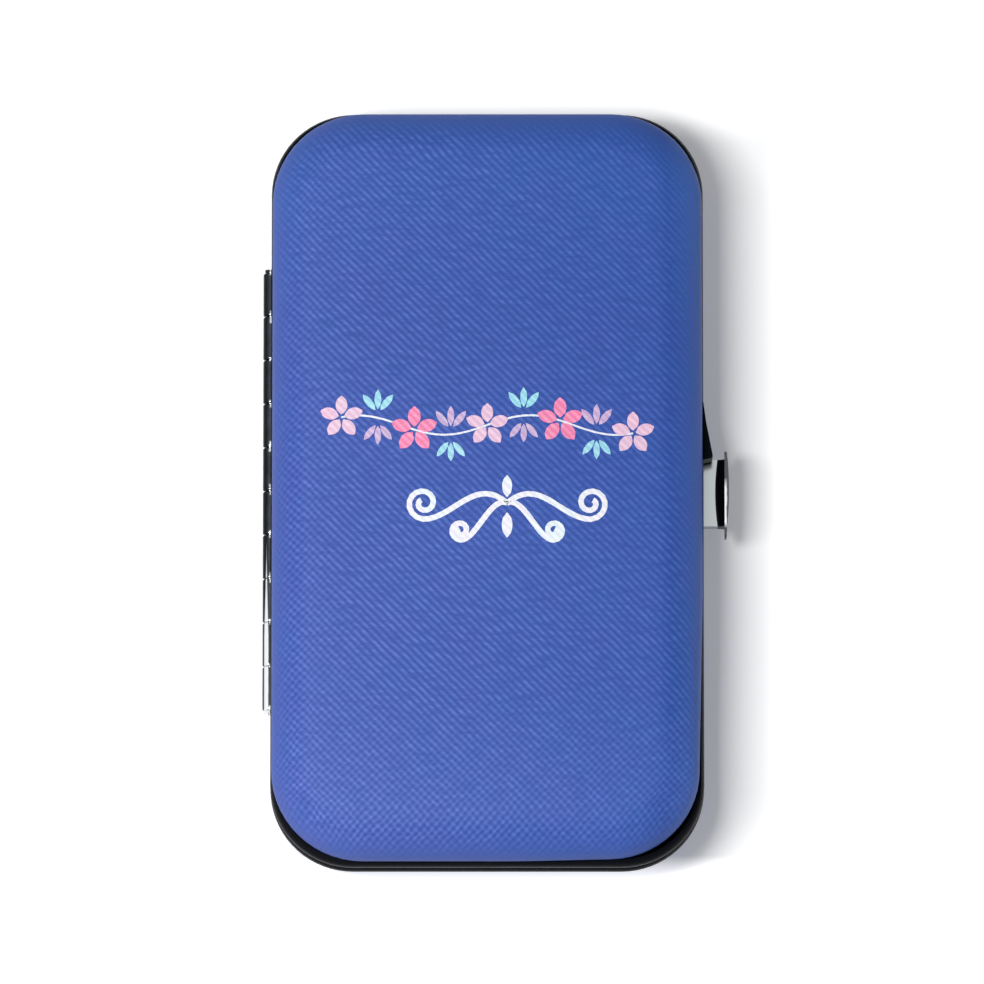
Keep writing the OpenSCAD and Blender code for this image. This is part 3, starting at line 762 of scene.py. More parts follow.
@dataclass(frozen=True)
class SmokedPlating(Finish):
    """Dark shiny plating of the hinge, with painted glints at the ends of its knuckles and a painted
    reflection lighter on their inner side.
    """

    name: str = "smoked_plating"
    # The plating's tone runs from the outer colour to the lighter inner one across the knuckles, a painted
    # reflection.
    outer: Colour = (0.014, 0.016, 0.016)
    inner: Colour = (0.055, 0.062, 0.078)
    # Colour of the painted glints and the painted highlight stripe.
    painted_highlight: Colour = (0.88, 0.90, 0.92)
    pitch: float = 6.76 * MM
    axis: float = -32.9 * MM
    # Width, place and reach of the painted highlight stripe.
    highlight_stripe: float = 0.37 * MM
    streak_at: float = -33.4 * MM
    streak_from: float = -6 * MM
    streak_full: float = -21 * MM

    def paint(self, n: Nodes, where: Socket) -> bpy.types.Node:
        """Wires the plating with its painted reflection, the painted glints at the knuckle ends and the
        painted highlight stripe on the near half of the hinge.
        """
        x, y = n.split(where)
        cloud = n.noise(where, 420.0, 3.0)
        across = cloud * (0.5 * MM) + x
        # Painted reflection: lighter on the inner side of the knuckles.
        reflection_band = across.fade(self.axis - 0.35 * MM, self.axis + 0.25 * MM)
        turns = y * (1 / self.pitch)
        gap = abs(turns - turns.do("ROUND")) * self.pitch
        patchy = n.noise(n.mapped(where, shift=(0, 3 * MM, 0)), 190.0, 1.0)
        # Painted glints: patches at the knuckle ends, on their inner side.
        ends = (gap - patchy.span(-0.75 * MM, 1.85 * MM)).fade(0.12 * MM, -0.12 * MM)
        wear_and_glint = ends * across.fade(self.axis + 0.05 * MM, self.axis + 0.35 * MM)
        # Painted highlight: a stripe along the knuckles that widens towards the near end.
        grown = (cloud * (3 * MM) + y).fade(self.streak_from, self.streak_full)
        highlight_stripe = (abs(x - self.streak_at) - grown * self.highlight_stripe).fade(0.0, -0.14 * MM)
        plating = n.ramp(reflection_band, [(0.0, self.outer), (1.0, self.inner)])
        return n.skin(Base_Color=n.mix(wear_and_glint.at_least(highlight_stripe), plating, self.painted_highlight), Metallic=1.0,
                      Roughness=cloud.span(0.10, 0.22), Normal=n.relief(cloud, 0.003 * MM))


@dataclass(frozen=True)
class Nap(Finish):
    """Short soft pile of the lining."""

    name: str
    colour: Colour
    light: Colour

    def paint(self, n: Nodes, where: Socket) -> bpy.types.Node:
        """Wires the pile and gives its shader."""
        pile, brushed = n.noise(where, 5200.0, 3.0, 0.7), n.noise(where, 90.0, 3.0)
        colour = n.ramp(pile * 0.55 + brushed * 0.45, [(0.3, self.colour), (0.75, self.light)])
        return n.skin(Base_Color=colour, Roughness=0.95, Sheen_Weight=0.5, Sheen_Roughness=0.4,
                      Specular_IOR_Level=0.2, Normal=n.relief(pile, 0.12 * MM))


@dataclass(frozen=True)
class RibbedElastic(Finish):
    """Woven elastic with ribs along the strap."""

    name: str = "black_elastic"
    rib: float = 0.75 * MM
    weft: float = 0.5 * MM

    def paint(self, n: Nodes, where: Socket) -> bpy.types.Node:
        """Wires the elastic and gives its shader."""
        x, y = n.split(where)
        turn = 2 * math.pi
        ribs, cross = (y * (turn / self.rib)).wave(), (x * (turn / self.weft)).wave()
        height = n.noise(where, 6000.0) * 0.2 + cross * 0.25 + ribs * 0.55
        colour = n.ramp(height, [(0.1, (0.008, 0.008, 0.010)), (0.9, (0.045, 0.045, 0.052))])
        return n.skin(Base_Color=colour, Roughness=0.8, Sheen_Weight=0.25, Specular_IOR_Level=0.3,
                      Normal=n.relief(height, 0.12 * MM))


@dataclass(frozen=True)
class Mottled(Finish):
    """Plain stuff with a fine mottle: card, foam, moulded plastic or thread."""

    name: str
    dark: Colour
    light: Colour
    rough: float
    grain: float
    depth: float
    gloss: float = 0.4

    def paint(self, n: Nodes, where: Socket) -> bpy.types.Node:
        """Wires the mottle and gives its shader."""
        fleck = n.noise(where, self.grain, 4.0, 0.6)
        return n.skin(Base_Color=n.ramp(fleck, [(0.3, self.dark), (0.7, self.light)]),
                      Roughness=fleck.span(self.rough * 0.85, min(self.rough * 1.1, 1.0)),
                      Specular_IOR_Level=self.gloss, Normal=n.relief(fleck, self.depth))


# ------------------------------------------------------------ shell layers


@dataclass
class Dome:
    """One padded or formed layer of a half: a deep tray with rounded edges and a crown."""

    name: str
    half: Half
    width: float
    length: float
    corner: float
    foot: float
    top: float
    edge: float
    wall: float
    crown: float = 0.0
    under: float = 0.0
    tuck_in: float = 0.0
    tuck_less_at_ends: float = 0.0
    tuck_foot: float = 0.0
    puff: float = 0.0
    slack: float = 0.0

    corner_steps: int = 14
    edge_steps: int = 9
    mesh_step: float = 4 * MM
    puff_size: float = 22 * MM
    slack_band: float = 1.3 * MM
    slack_across: Spot = (5 * MM, 29 * MM)
    slack_along: Spot = (-17 * MM, -43 * MM)

    def build(self, seam: float) -> Piece:
        """Models the layer as a thin closed shell.

        Args:
            seam: height of this half's seam face, in metres.

        Returns:
            The finished piece.
        """
        x, y = self.width / 2, self.length / 2
        piece = block(self.name, Vector((-x, -y, self.foot)), Vector((x, y, self.top)))
        upright = lambda e: abs(e.verts[0].co.z - e.verts[1].co.z) > 0.5 * (self.top - self.foot)
        choose(piece, "EDGE", upright)
        bevel(self.corner, self.corner_steps)
        at = lambda z: (lambda e: all(abs(v.co.z - z) < MERGE for v in e.verts))
        choose(piece, "EDGE", at(self.top))
        bevel(self.edge, self.edge_steps)
        if self.under:
            choose(piece, "EDGE", at(self.foot))
            bevel(self.under, 3)
        bpy.ops.object.mode_set(mode="OBJECT")
        for axis, reach in ((0, self.width / 2 - self.edge), (1, self.length / 2 - self.edge)):
            count = int(reach / self.mesh_step)
            bisect(piece, axis, [k * self.mesh_step for k in range(-count, count + 1)])
        self.raise_crown(piece)
        self.open_foot(piece)
        shell = piece.modifiers.new("wall", "SOLIDIFY")
        shell.thickness, shell.offset, shell.use_quality_normals = self.wall, -1.0, True
        apply_all(piece)
        self.set_on_seam(piece, seam)
        self.ease_corner(piece)
        self.unroll(piece, seam)
        smooth(piece, 40)
        return piece

    def raise_crown(self, piece: Piece) -> None:
        """Lowers the top towards the corners, so that a gentle crown stays.

        Args:
            piece: the layer, with its top still flat.
        """
        if not self.crown:
            return
        group, loose = piece.vertex_groups.new(name="fall"), piece.vertex_groups.new(name="loose")
        span = (self.width / 2) ** 2 + (self.length / 2) ** 2
        rise = self.top - self.foot
        for v in piece.data.vertices:
            lift = max(0.0, (v.co.z - self.foot) / rise)
            ease = lift * lift * (3 - 2 * lift)
            group.add([v.index], (v.co.x ** 2 + v.co.y ** 2) / span * ease, "REPLACE")
            loose.add([v.index], ease, "REPLACE")
        fall = piece.modifiers.new("crown", "DISPLACE")
        fall.direction, fall.mid_level, fall.vertex_group = "Z", 0.0, "fall"
        fall.strength = -self.crown
        if self.puff:
            cloud = bpy.data.textures.new(self.name + "_puff", "CLOUDS")
            cloud.noise_scale, cloud.noise_depth = self.puff_size, 0
            soft = piece.modifiers.new("puff", "DISPLACE")
            soft.texture, soft.direction, soft.mid_level = cloud, "NORMAL", 1.0
            soft.strength, soft.vertex_group = self.puff, "loose"
        apply_all(piece)
        piece.vertex_groups.clear()

    def open_foot(self, piece: Piece) -> None:
        """Opens the foot and turns its edge into the rim's channel.

        Args:
            piece: the layer, still closed below.
        """
        flat = lambda f: f.normal.z < -0.9 and f.calc_center_median().z < self.foot + MERGE
        choose(piece, "FACE", flat)
        bpy.ops.mesh.delete(type="FACE")
        if not self.tuck_in:
            return
        choose(piece, "EDGE", lambda e: e.is_boundary)
        bpy.ops.mesh.extrude_edges_move()
        at_ends = self.tuck_in - self.tuck_less_at_ends
        shrink = (1 - self.tuck_in / (self.width / 2), 1 - at_ends / (self.length / 2), 1)
        bpy.ops.transform.resize(value=shrink, center_override=(0, 0, self.foot))
        for _ in range(2):
            bpy.ops.mesh.extrude_edges_move(
                TRANSFORM_OT_translate={"value": (0, 0, (self.tuck_foot - self.foot) / 2)})

    def set_on_seam(self, piece: Piece, seam: float) -> None:
        """Stands the layer on the seam, or hangs it from it.

        Args:
            piece: the finished layer, drawn upwards from height 0.
            seam: height of this half's seam face.
        """
        take(piece)
        if self.half is Half.BASE:
            piece.scale = (1, 1, -1)
        piece.location = (0, 0, seam)
        bpy.ops.object.transform_apply()
        tidy(piece)

    def ease_corner(self, piece: Piece) -> None:
        """Draws the wall in from the rim round the near right corner, where the cover was pulled tight.

        Args:
            piece: the finished layer in its place.
        """
        if not self.slack:
            return
        for v in piece.data.vertices:
            out = v.co.xy - self.nearest(v.co)
            outer = self.rise(out.length, self.corner - self.slack_band, self.corner)
            if outer:
                right, near = self.rise(v.co.x, *self.slack_across), self.rise(v.co.y, *self.slack_along)
                v.co.xy -= out.normalized() * self.slack * outer * right * near

    def nearest(self, place: Vector) -> Vector:
        """The place on the plan's inner oblong, inside the corners' arcs, that is nearest to another."""
        inner = (self.width / 2 - self.corner, self.length / 2 - self.corner)
        return Vector([max(-most, min(most, own)) for own, most in zip(place, inner)])

    @staticmethod
    def rise(value: float, begin: float, end: float) -> float:
        """Runs from 0 to 1 while a value goes from begin to end."""
        return max(0.0, min(1.0, (value - begin) / (end - begin)))

    def unroll(self, piece: Piece, seam: float) -> None:
        """Lays a flat map over the form, in metres, as the cover was cut.

        Args:
            piece: the finished layer in its place.
            seam: height of this half's seam face.
        """
        flat_reach = self.corner - self.edge
        sign = 1 if self.half is Half.LID else -1
        chart = piece.data.uv_layers.new(name="Unrolled")
        places = []
        for v in piece.data.vertices:
            near = self.nearest(v.co)
            out = v.co.xy - near
            away, own = out.length, sign * (v.co.z - seam)
            if away <= flat_reach:
                places.append(v.co.xy)
                continue
            angle = math.atan2(away - flat_reach, max(own - (self.top - self.edge), 0.0))
            run = flat_reach + self.edge * angle + max(self.top - self.edge - own, 0.0)
            places.append(near + out * (run / away))
        for loop in piece.data.loops:
            chart.data[loop.index].uv = places[loop.vertex_index]


@dataclass
class PaddedHalf:
    """The soft layers of one half, from the cover in to the lining."""

    half: Half
    depth: float
    seam: float
    crown: float

    setback: float
    end_gap: float = 0.0
    slack: float = 0.0

    corner_extra: float = 1.5 * MM
    rim: float = 3.3 * MM
    edge: float = 6.8 * MM
    skin: float = 0.8 * MM
    foam: float = 2.0 * MM
    board: float = 1.2 * MM
    lining: float = 0.45 * MM
    leaf_side: float = 1.45 * MM
    web: float = 0.7 * MM
    puff: float = 0.12 * MM

    def soft(self) -> dict[str, float]:
        """The crown, the swelling and the slack that the outer soft layers share."""
        return {"crown": self.crown, "puff": self.puff if self.crown else 0.0, "slack": self.slack}

    def layer(self, name: str, inset: float, foot: float, top: float, edge: float, wall: float,
              **more: float) -> Piece:
        """Models an outer soft layer.

        Args:
            name: name of the piece after the half's own.
            inset: how far inside the rim's outline it lies.
            foot: height of its foot from the seam.
            top: height of its top from the seam.
            edge: radius round its top.
            wall: thickness.
            more: further sizes of the form.

        Returns:
            The layer.
        """
        form = Dome(f"{self.half.value}_{name}", self.half, CASE_WIDTH - 2 * inset,
                    CASE_LENGTH - 2 * (inset + self.end_gap), CORNER - inset + self.corner_extra,
                    foot, top, edge, wall, **more)
        return form.build(self.seam)

    def cover(self) -> Piece:
        """Models the grained cover, tucked into the rim's channel."""
        return self.layer("grained_cover", self.setback, self.rim + 0.05 * MM, self.depth, self.edge,
                          self.skin, under=0.5 * MM, tuck_in=self.leaf_side - self.setback - 0.5 * MM,
                          tuck_less_at_ends=self.end_gap, tuck_foot=self.web, **self.soft())

    def padding(self) -> Piece:
        """Models the foam pad between cover and board."""
        under = self.skin + 0.03 * MM
        return self.layer("foam_pad", self.setback + under, self.rim + 1.0 * MM, self.depth - under,
                          self.edge - self.skin, 0.8 * MM, **self.soft())

    def inside(self) -> Piece:
        """Models the lining.

        Returns:
            The lining.
        """
        inset = self.leaf_side + self.skin + self.board + 0.01 * MM
        top = self.depth - self.skin - self.foam - self.board - 0.01 * MM
        form = Dome(f"{self.half.value}_soft_lining", self.half, CASE_WIDTH - 2 * inset,
                    CASE_LENGTH - 2 * inset, CORNER - inset, self.web, top, 4.3 * MM, self.lining - 0.02 * MM)
        return form.build(self.seam)


# -------------------------------------------------------------------- tray


@dataclass(frozen=True)
class HeldTool:
    """The room that a tool takes under the straps."""

    x: float
    width: float
    height: float


def tool_boxes() -> list[HeldTool]:
    """Reads where the tools lie from the frame.

    Returns:
        The tools from left to right.
    """
    groups = {
        "toenail_clipper": 6.6 * MM, "nail_clipper": 5.95 * MM, "tweezers": 5.2 * MM,
        "nail_file": 2.8 * MM, "cuticle_pusher": 3.5 * MM,
    }
    tools = []
    for body, height in groups.items():
        boxes = [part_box(node) for node in frame["record"]["behaviour"]["bodies"][body]]
        low, high = min(b[0][0] for b in boxes), max(b[1][0] for b in boxes)
        if body == "cuticle_pusher":
            low, high = (low + high - height) / 2, (low + high + height) / 2
        tools.append(HeldTool((low + high) / 2, high - low, height))
    return tools


@dataclass
class Tray:
    """The tool tray: foam, cloth facing and the two elastic straps with their stitches."""

    tools: list[HeldTool]

    top: float = 6.05 * MM
    cloth_in: float = 4.97 * MM
    cloth_foot: float = 4.85 * MM
    foam_in: float = 8.0 * MM
    foam_foot: float = 3.46 * MM
    foam_top: float = 4.42 * MM
    strap_at: float = 18.0 * MM
    strap_width: float = 9.0 * MM
    elastic: float = 0.5 * MM
    half_strap: float = 0.3 * MM
    room: float = 0.25 * MM
    arch: float = 1.2 * MM
    valley: float = 0.3 * MM
    rib: float = 0.75 * MM
    thread: float = 0.13 * MM
    stitch: float = 1.3 * MM
    stitch_step: float = 1.65 * MM

    def slab(self, name: str, inset: float, foot: float, top: float, edge: float, wall: float) -> Piece:
        """Models a low layer of the tray.

        Args:
            name: name of the piece.
            inset: how far inside the rim it ends.
            foot: height of its open foot.
            top: height of its flat top.
            edge: radius round the top.
            wall: thickness.

        Returns:
            The layer.
        """
        form = Dome(name, Half.LID, CASE_WIDTH - 2 * inset, CASE_LENGTH - 2 * inset, CORNER - inset,
                    0.0, top - foot, edge, wall, edge_steps=4)
        return form.build(foot)

    def facing(self) -> Piece:
        """Models the cloth that wraps the tray board."""
        return self.slab("tray_cloth", self.cloth_in, self.cloth_foot, self.top, 0.35 * MM, 0.2 * MM)

    def foam(self) -> Piece:
        """Models the thin foam under the tray board."""
        return self.slab("tray_foam_pad", self.foam_in, self.foam_foot, self.foam_top, 0.3 * MM, 0.3 * MM)

    def path(self) -> list[Spot]:
        """The strap's middle line over the tools, seen from the near end.

        Returns:
            Places as x and z, in metres.
        """
        low = self.top + self.half_strap
        points: list[Spot] = []

        def arc(x: float, z: float, r: float, start: float, end: float, steps: int) -> None:
            """Adds an arc from one angle to another, in degrees."""
            for k in range(steps + 1):
                a = math.radians(start + (end - start) * k / steps)
                points.append((x + r * math.cos(a), z + r * math.sin(a)))

        for number, tool in enumerate(self.tools):
            side = tool.width / 2 + self.room + self.half_strap
            high = self.top + tool.height + 0.05 * MM + self.room + self.half_strap
            if number:
                arc(tool.x - side - self.valley, low + self.valley, self.valley, 270, 360, 3)
            else:
                points.append((tool.x - side, self.top + 0.02 * MM))
            arc(tool.x - side + self.arch, high - self.arch, self.arch, 180, 90, 6)
            inner = side - self.arch
            points += [(tool.x - inner / 2, high), (tool.x, high)]
            arc(tool.x + side - self.arch, high - self.arch, self.arch, 90, 0, 6)
            if number < len(self.tools) - 1:
                arc(tool.x + side + self.valley, low + self.valley, self.valley, 180, 270, 3)
            else:
                points.append((tool.x + side, self.top + 0.02 * MM))
        return points

    def strap(self, name: str, y: float) -> Piece:
        """Models a ribbed elastic strap that stands over all the tools.

        Args:
            name: name of the strap.
            y: its middle along the case.

        Returns:
            The strap.
        """
        low, high = y - self.strap_width / 2, y + self.strap_width / 2
        piece = ribbon(name, self.path(), low, high)
        count = int(self.strap_width / self.rib) * 2
        step = self.strap_width / count
        bisect(piece, 1, [low + k * step for k in range(1, count)])
        group = piece.vertex_groups.new(name="rib")
        crests = [v.index for v in piece.data.vertices if round((v.co.y - low) / step) % 2]
        group.add(crests, 1.0, "REPLACE")
        body = piece.modifiers.new("body", "SOLIDIFY")
        body.thickness, body.offset, body.use_quality_normals = self.elastic - 0.1 * MM, 0.0, True
        swell = piece.modifiers.new("ribs", "DISPLACE")
        swell.vertex_group, swell.mid_level, swell.strength = "rib", 0.0, 0.06 * MM
        apply_all(piece)
        piece.vertex_groups.clear()
        tidy(piece)
        smooth(piece, 60)
        return piece

    def stitches(self, name: str, y: float) -> Piece:
        """Models the rows of thread that sew a strap down between the tools.

        Args:
            name: name of the piece.
            y: middle of the strap along the case.

        Returns:
            All the stitches of the strap.
        """
        clear()
        bpy.ops.mesh.primitive_cylinder_add(vertices=8, radius=self.thread, depth=self.stitch,
                                            rotation=(math.pi / 2, 0, 0))
        thread = bpy.context.active_object
        thread.name = name
        bpy.ops.object.transform_apply()
        bisect(thread, 1, [k * 0.3 * MM for k in (-1, 0, 1)])
        for reach, size, drop in ((0.6, 0.45, -0.16), (0.29, 0.95, -0.04)):
            choose(thread, "VERT", lambda v: abs(v.co.y) > reach * MM)
            bpy.ops.transform.resize(value=(size, 1, size), center_override=(0, 0, 0))
            bpy.ops.transform.translate(value=(0, 0, drop * MM))
        tidy(thread)
        smooth(thread, 60)
        seams = [(a.x + a.width / 2 + b.x - b.width / 2) / 2 for a, b in zip(self.tools, self.tools[1:])]
        height = self.top + self.half_strap + self.elastic / 2 + 0.06 * MM
        rows = [Vector((x, y + k * self.stitch_step, height)) for x in seams for k in (-2, -1, 0, 1, 2)]
        return copies(thread, rows)


# ------------------------------------------------------------------- print


@dataclass
class Print:
    """A garland of leaves and blossoms over a scrolled line, printed on the lid."""

    cover: Piece

    blossoms: int = 5
    step: float = 11.0
    lift: float = 0.04 * MM
    film: float = 0.025 * MM
    row_y: float = 8.0 * MM
    sway: float = 1.5 * MM
    sway_length: float = 26 * MM
    scroll_y: float = -4.0 * MM
    scroll_x: float = 3.0 * MM

    def lay(self, piece: Piece) -> None:
        """Lays a flat piece on the cover, and gives it the cover's own map.

        Args:
            piece: the piece, drawn flat at height 0.
        """
        chart = piece.data.uv_layers.new(name="Unrolled")
        for v in piece.data.vertices:
            hit, spot, _, _ = self.cover.ray_cast(Vector((v.co.x, v.co.y, 1.0)), Vector((0, 0, -1)))
            v.co.z += spot.z + self.lift if hit else 0.0
        for loop in piece.data.loops:
            chart.data[loop.index].uv = piece.data.vertices[loop.vertex_index].co.xy

    def shapes(self, name: str, ovals: list[Oval]) -> Piece:
        """Prints a set of pointed ovals in one colour.

        Args:
            name: name of the piece.
            ovals: centre x, centre y, length, width and turn in degrees of each, in millimetres.

        Returns:
            The printed film.
        """
        parts = []
        for x, y, length, width, turn in ovals:
            clear()
            bpy.ops.mesh.primitive_circle_add(vertices=24, radius=0.5 * MM, fill_type="NGON")
            petal = bpy.context.active_object
            choose(petal, "VERT", lambda v: abs(v.co.x) > 0.4 * MM)
            bpy.ops.transform.resize(value=(1.12, 0.6, 1), center_override=(0, 0, 0))
            bpy.ops.mesh.select_all(action="SELECT")
            bpy.ops.transform.resize(value=(length, width, 1), center_override=(0, 0, 0))
            bpy.ops.object.mode_set(mode="OBJECT")
            petal.rotation_euler = (0, 0, math.radians(turn))
            petal.location = (x * MM, y * MM, 0)
            bpy.ops.object.transform_apply()
            parts.append(petal)
        return self.finish(join(name, parts))

    def line(self, name: str, strokes: list[list[Spot]], width: float,
             under: bool = False) -> Piece:
        """Prints smooth strokes of one width.

        Args:
            name: name of the piece.
            strokes: places of each stroke's points, in metres.
            width: width of the strokes.
            under: printed before the leaves and blossoms, which then cover it.

        Returns:
            The printed film.
        """
        data = bpy.data.curves.new(name, "CURVE")
        data.dimensions, data.use_fill_caps = "3D", True
        data.bevel_depth, data.bevel_resolution = width / 2, 1
        for stroke in strokes:
            spline = data.splines.new("POLY")
            spline.points.add(len(stroke) - 1)
            for point, (x, y) in zip(spline.points, stroke):
                point.co = (x, y, 0, 1)
        piece = bpy.data.objects.new(name, data)
        bpy.context.scene.collection.objects.link(piece)
        take(piece)
        bpy.ops.object.convert(target="MESH")
        piece.scale = (1, 1, 0.04)
        bpy.ops.object.transform_apply()
        tidy(piece)
        self.lay(piece)
        if under:
            choose(piece, "VERT", lambda v: True)
            bpy.ops.transform.translate(value=(0, 0, -0.02 * MM))
            bpy.ops.object.mode_set(mode="OBJECT")
        smooth(piece, 80)
        return piece

    def finish(self, piece: Piece) -> Piece:
        """Lays a flat film on the cover and gives it its thickness.

        Args:
            piece: the film, drawn flat at height 0.

        Returns:
            The same piece.
        """
        self.lay(piece)
        film = piece.modifiers.new("film", "SOLIDIFY")
        film.thickness, film.offset = self.film, -1.0
        apply_all(piece)
        tidy(piece)
        return piece

    def fan(self, x: float, y: float, reach: float, length: float, width: float,
            turns: list[float]) -> list[Oval]:
        """Ovals that point away from a place, one for each turn in degrees, in millimetres."""
        ways = [(math.cos(math.radians(turn)), math.sin(math.radians(turn)), turn) for turn in turns]
        return [(x + reach * over, y + reach * up, length, width, turn) for over, up, turn in ways]

    def blossom(self, x: float, y: float, size: float) -> list[Oval]:
        """Five petals round a place, in millimetres."""
        return self.fan(x, y, 0.70 * size, 0.95 * size, 0.66 * size, [90 + 72 * k for k in range(5)])

    def sprig(self, x: float, y: float, size: float, lean: float) -> list[Oval]:
        """Three leaves that fan out from a place, in millimetres."""
        return self.fan(x, y, 0.80 * size, size, 0.38 * size, [lean + turn for turn in (-38, 0, 38)])

    def wave(self, x: float) -> float:
        """Height of the garland's stem at a place, in metres."""
        return self.row_y + self.sway * math.sin(2 * math.pi * x / self.sway_length)

    def build(self) -> list[tuple[Piece, str]]:
        """Prints the whole design.

        Returns:
            Each film with the name of its ink.
        """
        row = [self.step * (k - (self.blossoms - 1) / 2) for k in range(self.blossoms)]
        between = [x + self.step / 2 for x in row[:-1]]
        at = lambda x: self.wave(x * MM) / MM
        pink = sum((self.blossom(x, at(x), 2.9) for x in row[1::2]), [])
        blush = sum((self.blossom(x, at(x), 2.7) for x in row[0::2]), [])
        above = [self.sprig(x, at(x) + 0.7, 2.7, 90) for x in between]
        below = [self.sprig(x, at(x) - 0.7, 2.5, 270) for x in between]
        aqua, lilac = sum(above[0::2] + below[1::2], []), sum(below[0::2] + above[1::2], [])
        middle, under = self.scroll_x / MM, self.scroll_y / MM
        buds = [(middle, under + 2.6, 3.0, 1.5, 90), (middle, under - 3.4, 3.4, 1.6, 90)]
        stem = [(x / 2 * MM, self.wave(x / 2 * MM)) for x in range(-44, 45)]
        return [
            (self.shapes("print_pink_blossoms", pink), "pink"),
            (self.shapes("print_blush_blossoms", blush), "blush"),
            (self.shapes("print_aqua_leaves", aqua), "aqua"),
            (self.shapes("print_lilac_leaves", lilac), "lilac"),
            (self.line("print_white_scrolls", self.scrolls(), 0.85 * MM), "white"),
            (self.line("print_stem", [stem], 0.30 * MM, under=True), "white"),
            (self.shapes("print_white_buds", buds), "white"),
        ]

    def scrolls(self) -> list[list[Spot]]:
        """Two pairs of mirrored scrolls that open from the middle.

        Returns:
            The strokes' points, in metres.
        """
        strokes = []
        for side in (-1, 1):
            for reach, curl, drop, swell in ((12.6, 2.5, 0.0, 3.4), (7.0, 1.5, -4.2, 1.0)):
                stroke = []
                for k in range(17):
                    t = k / 16
                    y = (drop - curl) * (3 * t * t - 2 * t ** 3) + swell * math.sin(math.pi * t) * (1 - t)
                    stroke.append((self.scroll_x + side * reach * t * MM, self.scroll_y + y * MM))
                for k in range(1, 22):
                    a = math.radians(-90 + 24 * k)
                    r = curl * (1 - k / 27)
                    stroke.append((self.scroll_x + side * (reach + r * math.cos(a)) * MM,
                                   self.scroll_y + (drop + r * math.sin(a)) * MM))
                strokes.append(stroke)
        return strokes

# ------------------------------------------------------------------ studio


@dataclass
class Studio:
    """Camera, lamp, world and floor."""

    distance: float = 2.3
    tilt: float = 11.5
    sensor: float = 36.0
    pixels_per_mm: float = 6.60
    picture: int = 984
    fill: float = 0.26
    glow: float = 0.18
    lamp_size: tuple[float, float] = (0.235, 0.10)
    lamp_watts: float = 2.5
    lamp_at: tuple[float, float, float] = (-0.165, -0.06, 0.50)
    bright_side: tuple[float, float, float] = (-0.05, -0.60, 0.0)
    look_at: Vector = Vector((0.72 * MM, -0.02 * MM, 11.1 * MM))

    def place(self, name: str, data: bpy.types.ID) -> Piece:
        """Puts a camera or lamp in the scene.

        Args:
            name: its name.
            data: the camera's or lamp's data.

        Returns:
            The new object.
        """
        thing = bpy.data.objects.new(name, data)
        bpy.context.scene.collection.objects.link(thing)
        return thing

    def camera(self) -> None:
        """Places the camera nearly straight above, leaning to the near end."""
        data = bpy.data.cameras.new("camera")
        camera = self.place("camera", data)
        lean = math.radians(self.tilt)
        camera.location = self.look_at + self.distance * Vector((0, -math.sin(lean), math.cos(lean)))
        camera.rotation_euler = (lean, 0, 0)
        data.sensor_width = self.sensor
        data.lens = self.sensor * self.distance / (self.picture / self.pixels_per_mm * MM)
        data.clip_start, data.clip_end = 0.05, 20.0
        bpy.context.scene.camera = camera

    def light(self) -> None:
        """Lights the case softly, with the lamp close by on the left and near side."""
        data = bpy.data.lights.new("main_lamp", "AREA")
        data.shape, data.size, data.size_y, data.energy = "RECTANGLE", *self.lamp_size, self.lamp_watts
        self.place("main_lamp", data).location = self.lamp_at
        world = bpy.data.worlds.new("studio")
        bpy.context.scene.world = world
        n = Nodes(world)
        side = n.joined("VectorMath", n.add("TexCoord").outputs["Generated"], self.bright_side)
        side.operation = "DOT_PRODUCT"
        level = Value(n, side.outputs["Value"]).span(self.fill, 1.9 * self.fill)
        soft = n.add("Background", in_Color=(0.97, 0.985, 1), in_Strength=level)
        white = n.add("Background", in_Color=(1, 1, 1), in_Strength=1.0)
        seen = n.rays("Camera", "Glossy", "Transmission")
        n.joined("OutputWorld", n.joined("MixShader", seen, soft, white))

    def floor(self) -> None:
        """Lays a white floor that keeps the case's shadow on its right; painted light, a camera-only glow,
        whitens it all round the case and over the shadow under the near end.
        """
        clear()
        bpy.ops.mesh.primitive_plane_add(size=6, location=(0, 0, -0.02 * MM))
        ground = bpy.context.active_object
        ground.name = "floor"
        material = bpy.data.materials.new("white_floor")
        n = Nodes(material)
        across, along = n.split(n.add("TexCoord").outputs["Object"])
        # Painted light: a camera-only glow that whitens the floor past the near and far ends and out to the
        # sides, lightening the shadow under the near end and the outer part of the shadow on the right.
        lift = along.fade(-54 * MM, -57 * MM, 0.0, 0.60)
        for way, begin, end, strength in ((along, 57, 61, 0.15), (along, 66, 110, 0.60),
                                          (across, 42, 66, 0.60), (across, -115, -160, 0.60)):
            lift = lift.at_least(way.fade(begin * MM, end * MM, 0.0, strength))
        glow = n.add("Emission", in_Color=(1, 1, 1), in_Strength=lift * n.rays("Camera") + self.glow)
        dark = n.add("Emission", in_Color=(0, 0, 0), in_Strength=0.0)
        seen = n.joined("MixShader", n.rays("Camera", "Glossy"), dark, glow)
        paper = n.skin(Base_Color=(0.9, 0.9, 0.9), Roughness=1.0, Specular_IOR_Level=0.0)
        n.joined("OutputMaterial", n.joined("AddShader", paper, seen))
        ground.data.materials.append(material)


# --------------------------------------------------------------- assembly


def dress(piece: Piece, material: bpy.types.Material) -> None:
    """Gives a piece or CAD node one material."""
    piece.data.materials.clear()
    piece.data.materials.append(material)


def settle(piece: Piece, material: bpy.types.Material, body: str, slot: str, *nodes: str) -> None:
    """Dresses a new piece, says what it rides on and hides the CAD nodes it stands for.

    Args:
        piece: the new piece, in its place.
        material: its finish.
        body: the body that carries it.
        slot: the record's material slot; not used.
        nodes: the CAD nodes it stands for.
    """
    dress(piece, material)
    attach(piece, body)
    if nodes:
        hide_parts(*nodes)
    log.info("%s rides on %s: %d faces", piece.name, body, len(piece.data.polygons))


